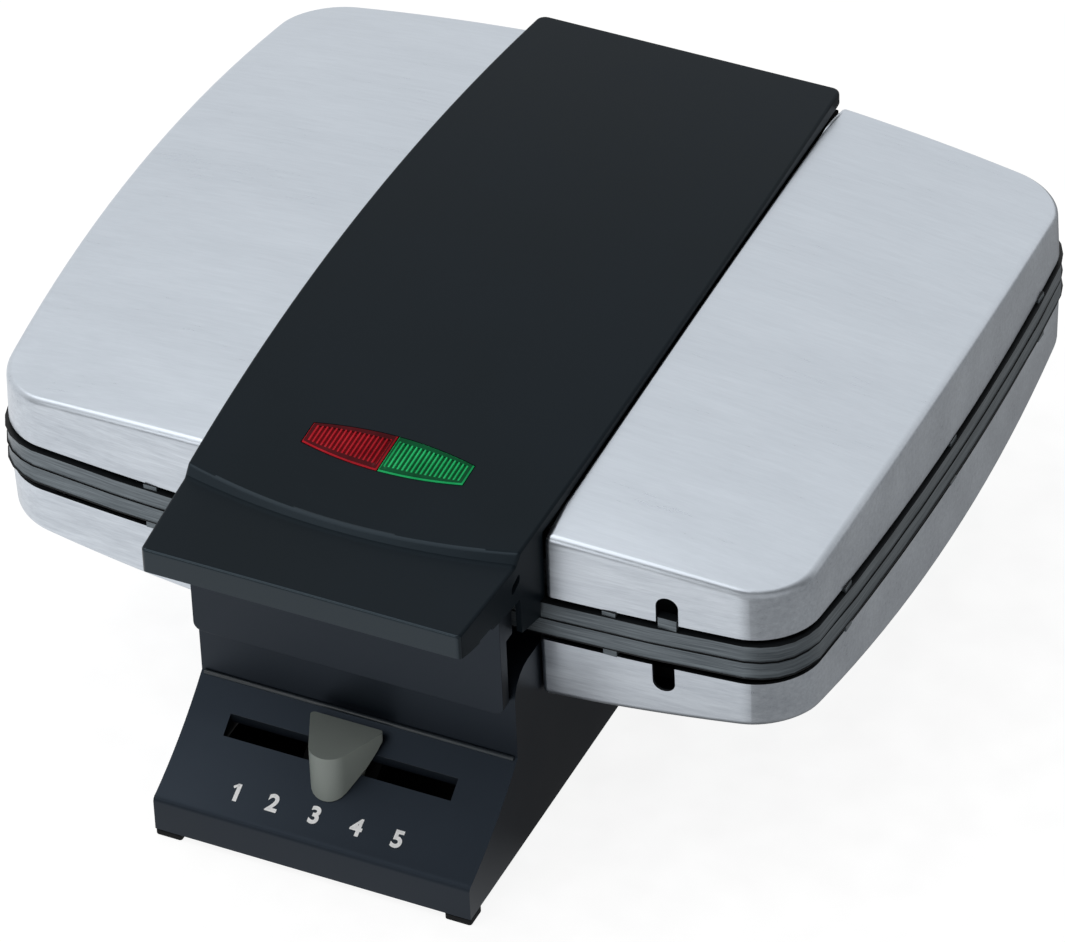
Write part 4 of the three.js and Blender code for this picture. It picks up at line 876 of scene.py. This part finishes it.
def cheek_slot_tool():
    """What is cut for the slot in the right-hand cheek, which rises towards the back."""
    front, back, low, high = -139.9, -134.6, 107.2, 110.6
    tool = add_block("cheek_slot", (CHEEK_IN, front, low), (CHEEK_OUT, back, high))
    edit(tool)
    pick(tool, "VERT", lambda p: p.y > back - CLOSE)
    nudge(z=CHEEK_SLOT_RISE)
    leave()
    round_over(tool, CHEEK_SLOT_ROUND, segments=4)
    return tool


def seam_notch_tool():
    """What is cut for the notch in the seam below the handle, on the right-hand side."""
    front, back, low, high = -160.5, -152.5, 99, 104.9
    return add_block("seam_notch", (SEAM_NOTCH_IN, front, low), (CHEEK_OUT, back, high))


def strap_block():
    """The strap's block, cut in rows that are widened and set on the arch."""
    low, high = 84, 120
    rows = 33
    piece = add_block("strap_cover", (-STRAP_END, STRAP_FRONT, low), (STRAP_END, STRAP_BACK, high))
    edit(piece)
    for end, radius in ((STRAP_BACK, STRAP_BACK_CORNER), (STRAP_FRONT, STRAP_FRONT_CORNER)):
        pick(piece, "EDGE", lambda a, b: abs(a.z - b.z) > CLOSE and abs(a.y - end) < CLOSE)
        bevel(radius, segments=5)
    slice_rows(piece, [STRAP_FRONT + STRAP_ROW * k for k in range(1, rows)], "Y")
    mesh = bmesh.from_edit_mesh(piece.data)
    tops = {v.index for v in mesh.verts if at(v).z > high - CLOSE}
    for y, numbers in rows_of(piece, "Y").items():
        take(piece, numbers)
        stretch(x=strap_half(y) / STRAP_END)
        take(piece, [i for i in numbers if i in tops])
        nudge(z=arch_z(y) - high)
    leave()
    return piece


def strap_cover():
    """One moulding: an arched block that is stepped, rounded, hollowed from below and given its openings."""
    piece = strap_block()
    carve(piece, step_tool(), under_tool())
    edit(piece)
    above_edge = lambda p: p.z - strap_under(p.y)
    clear, level = 0.8, 0.06
    pick_creases(piece, angle=30, test=lambda a, b: min(above_edge(a), above_edge(b)) > clear)
    bevel(STRAP_EDGE, segments=4)
    pick_faces_whose(piece, lambda p: abs(above_edge(p)) < level)
    bpy.ops.mesh.delete(type="FACE")
    face_outwards()
    leave()
    modify(piece, "SOLIDIFY", thickness=STRAP_SKIN * MM, offset=-1, use_even_offset=False)
    carve(piece, window_tool(), cheek_slot_tool(), seam_notch_tool())
    smooth(piece)
    even_shading(piece)
    finish_piece(piece, "lid", strap_black)
    piece.data.materials.append(handle_edge_black)
    piece.data.materials.append(riser_black)

    def on_front(c, n):
        return c.y < STRAP_FRONT + STRAP_EDGE and n.y < -0.25

    def on_riser(c, n):
        ridge = STEP_Y + STEP_SAG * (c.x / strap_half(STEP_Y)) ** 2
        before, behind = 1.9, 0.9
        return -before < c.y - ridge < behind and 0.15 < -n.y < 0.92 and n.z > 0.25

    edit(piece)
    paint(piece, 1, on_front)
    paint(piece, 2, on_riser)
    leave()
    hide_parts("lid_cover")


strap_cover()


# Ribbed lenses


def ribbed_lens(name, hand, skins, node):
    """Half of the boat-shaped window: a clear cap whose middle is cut into fine ribs, with a plain border."""
    high = arch_z(LENS_Y) + LENS_PROUD
    low = high - LENS_DEPTH
    pitch = (LENS_HALF - 2 * LENS_BORDER) / RIBS
    parts = [k + part for k in range(RIBS) for part in (0, GROOVE_SHARE)]
    columns = [hand * (LENS_BORDER + pitch * part) for part in parts]
    columns.append(hand * (LENS_HALF - LENS_BORDER))
    rows = [share * LENS_MIDDLE_SHARE for share in (-1, -0.5, 0, 0.5, 1)]
    x0, x1 = sorted((hand * LENS_PARTING, hand * LENS_HALF))
    piece = boat(name, x0, x1, 0, low, high, columns, rows)
    for y, numbers in rows_of(piece, "Y").items():
        take(piece, numbers)
        nudge(z=arch_z(y) - arch_z(LENS_Y))
    for skin in skins:
        piece.data.materials.append(skin)
    rib_highlight, border = 1, 2

    def inside(c):
        across = abs(c.x)
        half = LENS_END + LENS_BULGE * (1 - (across / LENS_HALF) ** 2)
        along = abs(c.y - LENS_Y) < LENS_MIDDLE_SHARE * half
        return along and LENS_BORDER < across < LENS_HALF - LENS_BORDER

    def ribbed(c, n):
        return n.z > 0.8 and inside(c)

    def sunk(c):
        return (abs(c.x) - LENS_BORDER) / pitch % 1 < GROOVE_SHARE

    paint(piece, rib_highlight, lambda c, n: ribbed(c, n) and not sunk(c))
    paint(piece, border, lambda c, n: not ribbed(c, n))
    pick(piece, "FACE", lambda c, n: ribbed(c, n) and sunk(c))
    bpy.ops.mesh.extrude_region_move(TRANSFORM_OT_translate={"value": (0, 0, -GROOVE_DEPTH * MM)})
    # A chamfer round the cap is painted with the ribs' highlight tone, and the ribs' edges are eased
    on_brim = lambda p: abs(p.z - high - arch_z(p.y) + arch_z(LENS_Y)) < CLOSE / 2 and not inside(p)
    round_brim = lambda a, b: on_brim(a) and on_brim(b) and not inside((a + b) / 2)
    pick_creases(piece, angle=50, test=round_brim)
    bevel(LENS_CHAMFER, segments=1)
    paint(piece, rib_highlight, lambda c, n: 0.3 < n.z < 0.9 and not inside(c))
    floor = low + LENS_DEPTH / 2
    on_ribs = lambda a, b: min(a.z, b.z) > floor and inside((a + b) / 2)
    pick_creases(piece, angle=60, test=on_ribs)
    bevel(RIB_EDGE, segments=2)
    leave()
    smooth(clean(piece))
    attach(piece, "lid")
    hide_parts(node)


ribbed_lens("lens_left", -1, (red_deep, red_rib_highlight, red_edge), "lens_red")
ribbed_lens("lens_right", 1, (green_deep, green_rib_highlight, green_edge), "lens_green")


# Baking plates, from their nodes


def from_corner(p):
    """How far out a place lies from the middle of the nearest corner's curve."""
    across, along = abs(p.x) - BODY_X + CURVE_IN_X, abs(p.y) - BODY_Y + CURVE_IN_Y
    return math.hypot(max(0, across), max(0, along))


def on_edge(c, n):
    """Whether a face belongs to the plate's outer edge."""
    margin, curve = 0.6, 15
    front = abs(c.y) > BODY_Y - FRONT_BULGE * (c.x / BODY_X) ** 2 - margin
    side = abs(c.x) > BODY_X - SIDE_BULGE * (c.y / BODY_Y) ** 2 - margin
    return abs(n.z) < 0.6 and (front or side or from_corner(c) > curve)


def outward(c, n):
    """Whether a face of the edge looks away from the plate's middle."""
    reach = 12
    ahead = abs(n.y) * (abs(c.y) > BODY_Y - reach and n.y * c.y > 0)
    aside = abs(n.x) * (abs(c.x) > BODY_X - reach and n.x * c.x > 0)
    return abs(n.z) < 0.95 and max(ahead, aside) > 0.25 and on_edge(c, n)


def draw_in_corners(piece):
    """Makes the plate's corners rounder, in three steps that each take in less of the corner."""
    # How far along the diagonal each step begins, and how far out from the corner's middle
    for span_share, out in ((1.74, 18.3), (1.79, 17.9), (1.82, 17.5)):
        for hand in (-1, 1):
            for end in (-1, 1):
                near = lambda p: hand * p.x / BODY_X + end * p.y / BODY_Y > span_share
                pick(piece, "VERT", lambda p: near(p) and from_corner(p) > out)
                nudge(x=-CORNER_STEP * hand, y=-CORNER_STEP * end)


def baking_plate(name, node, body):
    """A coated plate whose outer edge, all the way round, is ground bare."""
    piece = from_node(name, node, radius=0.3)
    finish_piece(piece, body, coated)
    piece.data.materials.append(ground_edge)
    below, above = (SKIRT, SKIRT_LAP) if body == "base" else (SKIRT_LAP, SKIRT)
    on_skirt = lambda c: PARTING - below < c.z < PARTING + above
    upright = lambda n: max(abs(n.x), abs(n.y)) > 0.7
    edit(piece)
    # The skirt comes in to stand 0.6 mm proud of the steel, and the lugs go out almost as far
    pick(piece, "FACE", lambda c, n: outward(c, n) and on_skirt(c))
    stretch(x=SKIRT_SHARE_X, y=SKIRT_SHARE_Y)
    pick(piece, "FACE", lambda c, n: outward(c, n) and not on_skirt(c) and upright(n))
    stretch(x=LUG_SHARE_X, y=LUG_SHARE_Y)
    draw_in_corners(piece)
    paint(piece, 1, on_edge)
    leave()
    even_shading(piece)


baking_plate("plate_lower", "lower_baking_plate", "base")
baking_plate("plate_upper", "upper_baking_plate", "lid")
for level, body in (("lower", "base"), ("upper", "lid")):
    for hand in ("left", "right"):
        grid = from_node("grid_%s_%s" % (level, hand), "waffle_grid_%s_%s" % (level, hand), radius=0.7)
        finish_piece(grid, body, coated)


# Console, handle base and small pieces, from their nodes


def console_housing():
    """The console, with the rear and right-hand rim of its slot painted lighter as a highlight."""
    piece = from_node("console_housing", "base_housing", radius=0.7)
    finish_piece(piece, "base", console_black)
    piece.data.materials.append(edge_highlight_black)
    slot_front, slot_back, slot_right, slot_half, near = -153.5, -147, 38.6, 42, 1.3
    low, high = 20, 45

    def on_rim(c, n):
        rear = abs(c.x) < slot_half and abs(c.y - slot_back) < near and n.y < -0.68
        between = slot_front < c.y < slot_back + 0.5
        right = between and abs(c.x - slot_right) < near and n.x < -0.4
        return low < c.z < high and n.z > 0.1 and (rear or right)

    edit(piece)
    paint(piece, 1, on_rim)
    leave()


def slider_knob():
    """The knob, a little wider than its node. Its stem keeps its width, for the slot's sake."""
    middle, stem_half, stem_front, stem_back = -1.4, 8.6, -152.5, -147.3
    foot_middle, foot_back, foot_top, wider = -145.5, -142, 37, 1.08
    piece = from_node("knob", "slider_knob", radius=0.9, segments=4)
    edit(piece)
    on_stem = lambda p: abs(p.x - middle) < stem_half and stem_front < p.y < stem_back
    pick(piece, "VERT", lambda p: not on_stem(p))
    stretch(x=wider, about=(middle, 0, 0))
    # The rear of its foot stands clear of the slope
    for start, end, rise in ((stem_back, foot_middle, 0.9), (foot_middle, foot_back, 1.8)):
        pick(piece, "VERT", lambda p: start < p.y < end and p.z < foot_top)
        nudge(z=rise)
    leave()
    even_shading(piece)
    finish_piece(piece, "slider", taupe)


def crease_lip():
    """The thin raised lip at the foot of the column, where the slope begins, painted lighter as a highlight.
    """
    piece = add_rod("crease_lip", LIP_RADIUS, LIP_HALF, LIP_Y, LIP_Z, sides=24)
    round_over(piece, LIP_EDGE, segments=2)
    smooth(piece)
    finish_piece(piece, "base", edge_highlight_black)


console_housing()
apron = from_node("handle_apron", "handle_base", radius=0.5)
finish_piece(apron, "lid", console_black)
chassis = clean(from_node("lid_chassis", "lid_frame", radius=0.4))
finish_piece(chassis, "lid", shadow_black)
floor_cover = from_node("floor_cover", "bottom_cover", radius=0.3)
finish_piece(floor_cover, "base", console_black)
slider_knob()
crease_lip()
for corner in ("front_left", "front_right", "rear_left", "rear_right"):
    pad = from_node("pad_" + corner, "foot_" + corner, radius=0.5)
    finish_piece(pad, "base", rubber)
grommet = from_node("cord_grommet", "cord_bushing", radius=0.5)
finish_piece(grommet, "base", rubber)

# Inner pieces keep their frame shape
for node, skin in {
    "slider_carriage": shadow_black,
    "slider_rail": blackened,
    "thermostat_lever": zinc,
    "thermostat_spindle": zinc,
    "thermostat": ivory,
    "terminal_block": ivory,
    "lamp_holder": ivory,
    "lamp_left": glass,
    "lamp_right": glass,
    "hinge_pin": zinc,
    "lower_reflector": zinc,
    "upper_reflector": zinc,
    "lower_heating_element": sheath,
    "upper_heating_element": sheath,
    "bottom_screw_front_left": zinc,
    "bottom_screw_front_right": zinc,
    "bottom_screw_rear_left": zinc,
    "bottom_screw_rear_right": zinc,
}.items():
    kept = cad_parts[node]
    kept.data.materials.clear()
    kept.data.materials.append(skin)


# Numerals on the slope


def slope_place(y):
    """The height of the console's hollow slope and its pitch there."""
    chord = math.hypot(SLOPE_RUN, SLOPE_RISE)
    radius = (chord**2 / 4 + SLOPE_SAG**2) / (2 * SLOPE_SAG)
    centre_y = SLOPE_MIDDLE_Y - (radius - SLOPE_SAG) * SLOPE_RISE / chord
    centre_z = SLOPE_MIDDLE_Z + (radius - SLOPE_SAG) * SLOPE_RUN / chord
    z = centre_z - math.sqrt(radius**2 - (y - centre_y) ** 2)
    return z, math.atan2(y - centre_y, centre_z - z)


def flag_on(numeral):
    """Adds the short slanting stroke at the top of the figure one."""
    length, thickness, outwards, downwards, slant = 1.9, 0.85, 0.35, 0.95, 38
    corners = [v.co for v in numeral.data.vertices]
    top = max(v.y for v in corners)
    left = min(v.x for v in corners)
    place = (left - outwards * MM, top - downwards * MM, 0)
    bpy.ops.object.select_all(action="DESELECT")
    bpy.ops.mesh.primitive_cube_add(size=1, location=place)
    stroke = bpy.context.object
    stroke.scale = (length * MM, thickness * MM, 2 * INK_HALF * MM)
    stroke.rotation_euler = (0, 0, math.radians(slant))
    settle(stroke)
    numeral.select_set(True)
    bpy.context.view_layer.objects.active = numeral
    bpy.ops.object.join()


def printed_numeral(figure, x):
    """A figure of the heat scale, laid on the slope as a film of ink."""
    z, pitch = slope_place(SCALE_Y)
    bpy.ops.object.select_all(action="DESELECT")
    bpy.ops.object.text_add(location=(0, 0, 0))
    word = bpy.context.object
    word.data.body = str(figure)
    word.data.align_x = "CENTER"
    word.data.align_y = "CENTER"
    word.data.size = FIGURE_SIZE * MM
    word.data.extrude = INK_HALF * MM
    word.data.offset = FIGURE_SWELL * MM
    word.name = "numeral_%d" % figure
    alone(word)
    bpy.ops.object.convert(target="MESH")
    numeral = clean(bpy.context.object)
    if figure == 1:
        flag_on(numeral)
    numeral.rotation_euler = (pitch, 0, 0)
    upright = Vector((0, -math.sin(pitch), math.cos(pitch)))
    numeral.location = mm(x, SCALE_Y, z) + upright * INK_LIFT * MM
    settle(numeral)
    finish_piece(numeral, "base", ink)


for count, x in enumerate(SCALE_X):
    printed_numeral(count + 1, x)


# Floor, light and camera


def table_skin():
    """A lit white table: it glows for the camera, so that only a faint shadow is left under the machine."""
    made, tree, shader, place = material("lit_white_table")
    fibre = add(tree, "ShaderNodeTexNoise", links={"Vector": place}, Scale=60, Detail=2, Roughness=0.5)
    white = add(
        tree, RAMP, links={"Fac": fibre.outputs["Fac"]}, stops=((0.3, "#fcfcfc"), (0.7, "#ffffff"))
    ).outputs[0]
    # Reflections and bounced light find a grey table with painted shade: dark under the right-hand shell,
    # where shade falls, and darker to the right
    parts = add(tree, "ShaderNodeSeparateXYZ", links={"Vector": place})
    rightward = add(
        tree,
        "ShaderNodeMapRange",
        links={"Value": parts.outputs["X"]},
        From_Min=0.03,
        From_Max=0.23,
    ).outputs[0]
    backward = add(
        tree,
        "ShaderNodeMapRange",
        links={"Value": parts.outputs["Y"]},
        From_Min=-0.17,
        From_Max=-0.11,
    ).outputs[0]
    front = add(
        tree, RAMP, links={"Fac": rightward}, stops=((0.46, "#ebebeb"), (0.56, "#959595"))
    ).outputs[0]
    # Painted shade under the right-hand shell
    under = add(
        tree,
        RAMP,
        links={"Fac": rightward},
        stops=((0, "#ebebeb"), (0.14, "#6c6c6c"), (0.5, "#6c6c6c"), (0.7, "#959595")),
    ).outputs[0]
    colour = {"data_type": "RGBA"}
    bounced = add(tree, "ShaderNodeMix", colour, {0: backward, 6: front, 7: under})
    seen = add(tree, "ShaderNodeLightPath").outputs["Is Camera Ray"]
    tone = add(tree, "ShaderNodeMix", colour, {0: seen, 6: bounced.outputs[2], 7: white}).outputs[2]
    tree.links.new(tone, shader.inputs["Emission Color"])
    shader.inputs["Emission Strength"].default_value = 0.9
    shader.inputs["Roughness"].default_value = 0.9
    shader.inputs["Specular IOR Level"].default_value = 0
    # A fifth of its tone takes the lamps' light and shows the shadow
    fifth = add(
        tree,
        "ShaderNodeMix",
        {"data_type": "RGBA", "blend_type": "MULTIPLY"},
        {6: tone},
        _0=1,
        _7=(0.2, 0.2, 0.2, 1),
    )
    tree.links.new(fifth.outputs[2], shader.inputs["Base Color"])
    return made


def studio_floor():
    bpy.ops.object.select_all(action="DESELECT")
    width, below = 12, 0.0002
    bpy.ops.mesh.primitive_plane_add(size=width, location=(0, 0, -below))
    floor = settle(bpy.context.object)
    floor.name = "studio_floor"
    floor.data.materials.append(table_skin())


def studio_world():
    """Plain white for the camera and through glass, and an unevenly lit room for everything else."""
    world = bpy.data.worlds.new("studio")
    bpy.context.scene.world = world
    world.use_nodes = True
    sky = world.node_tree
    for old in list(sky.nodes):
        sky.nodes.remove(old)
    rays = add(sky, "ShaderNodeLightPath")
    direct = add(
        sky,
        "ShaderNodeMath",
        {"operation": "MAXIMUM"},
        {0: rays.outputs["Is Camera Ray"], 1: rays.outputs["Is Transmission Ray"]},
    )
    way = add(sky, "ShaderNodeTexCoord").outputs["Generated"]
    facing = add(sky, "ShaderNodeSeparateXYZ", links={"Vector": way})
    multiply = {"operation": "MULTIPLY"}
    sideways = add(sky, "ShaderNodeMath", multiply, {0: facing.outputs["X"]}, _1=0.5)
    turned = add(
        sky,
        "ShaderNodeMath",
        {"operation": "MULTIPLY_ADD"},
        {0: facing.outputs["Y"], 2: sideways.outputs[0]},
        _1=-0.8,
    )
    # The room is bright behind and to the left, dark to the front right, and lighter again in front
    round_about = add(
        sky,
        "ShaderNodeMapRange",
        links={"Value": turned.outputs[0]},
        From_Min=-0.35,
        From_Max=1,
    )
    tones = add(
        sky,
        RAMP,
        links={"Fac": round_about.outputs[0]},
        stops=((0, "#eeeeee"), (0.59, "#666666"), (0.85, "#b8b8b8")),
    ).outputs[0]
    lit = add(sky, "ShaderNodeBackground", links={"Color": tones}, Strength=1)
    shown = add(sky, "ShaderNodeBackground", Color=(1, 1, 1, 1), Strength=1)
    mixed = add(
        sky,
        "ShaderNodeMixShader",
        links={0: direct.outputs[0], 1: lit.outputs[0], 2: shown.outputs[0]},
    )
    add(sky, "ShaderNodeOutputWorld", links={"Surface": mixed.outputs[0]})


def lamp(name, place, length, width, power):
    """A softbox that faces the machine."""
    aim = Vector((0, 0, 0.05))
    data = bpy.data.lights.new(name, "AREA")
    data.shape = "RECTANGLE"
    data.size = length
    data.size_y = width
    data.energy = power
    made = bpy.data.objects.new(name, data)
    bpy.context.scene.collection.objects.link(made)
    made.location = place
    made.rotation_euler = (aim - Vector(place)).to_track_quat("-Z", "Y").to_euler()


def photo_camera():
    """The photograph's viewpoint, fitted to the machine's outline."""
    azimuth, elevation, roll = (math.radians(a) for a in (26.69, 39.22, -2.52))
    target, distance, focal_length = mm(-8.53, 8.07, 24.91), 2.63004, 269.55
    flat = math.cos(elevation)
    back = Vector((math.sin(azimuth) * flat, -math.cos(azimuth) * flat, math.sin(elevation)))
    right = (-back).cross(Vector((0, 0, 1))).normalized()
    up = right.cross(-back)
    across = right * math.cos(roll) + up * math.sin(roll)
    upward = -right * math.sin(roll) + up * math.cos(roll)
    lens = bpy.data.cameras.new("camera")
    lens.sensor_width = 36
    lens.lens = focal_length
    lens.clip_end = 50
    camera = bpy.data.objects.new("camera", lens)
    bpy.context.scene.collection.objects.link(camera)
    turn = Matrix((across, upward, back)).transposed().to_4x4()
    turn.translation = target + back * distance
    camera.matrix_world = turn
    bpy.context.scene.camera = camera


studio_floor()
studio_world()
lamp("overhead_softbox", place=(-0.65, -0.35, 1.9), length=1.8, width=1.6, power=10)
lamp("front_left_light", place=(-0.77, -1.76, 1.07), length=1.2, width=0.9, power=5)
photo_camera()
bpy.context.scene.view_settings.view_transform = "Standard"
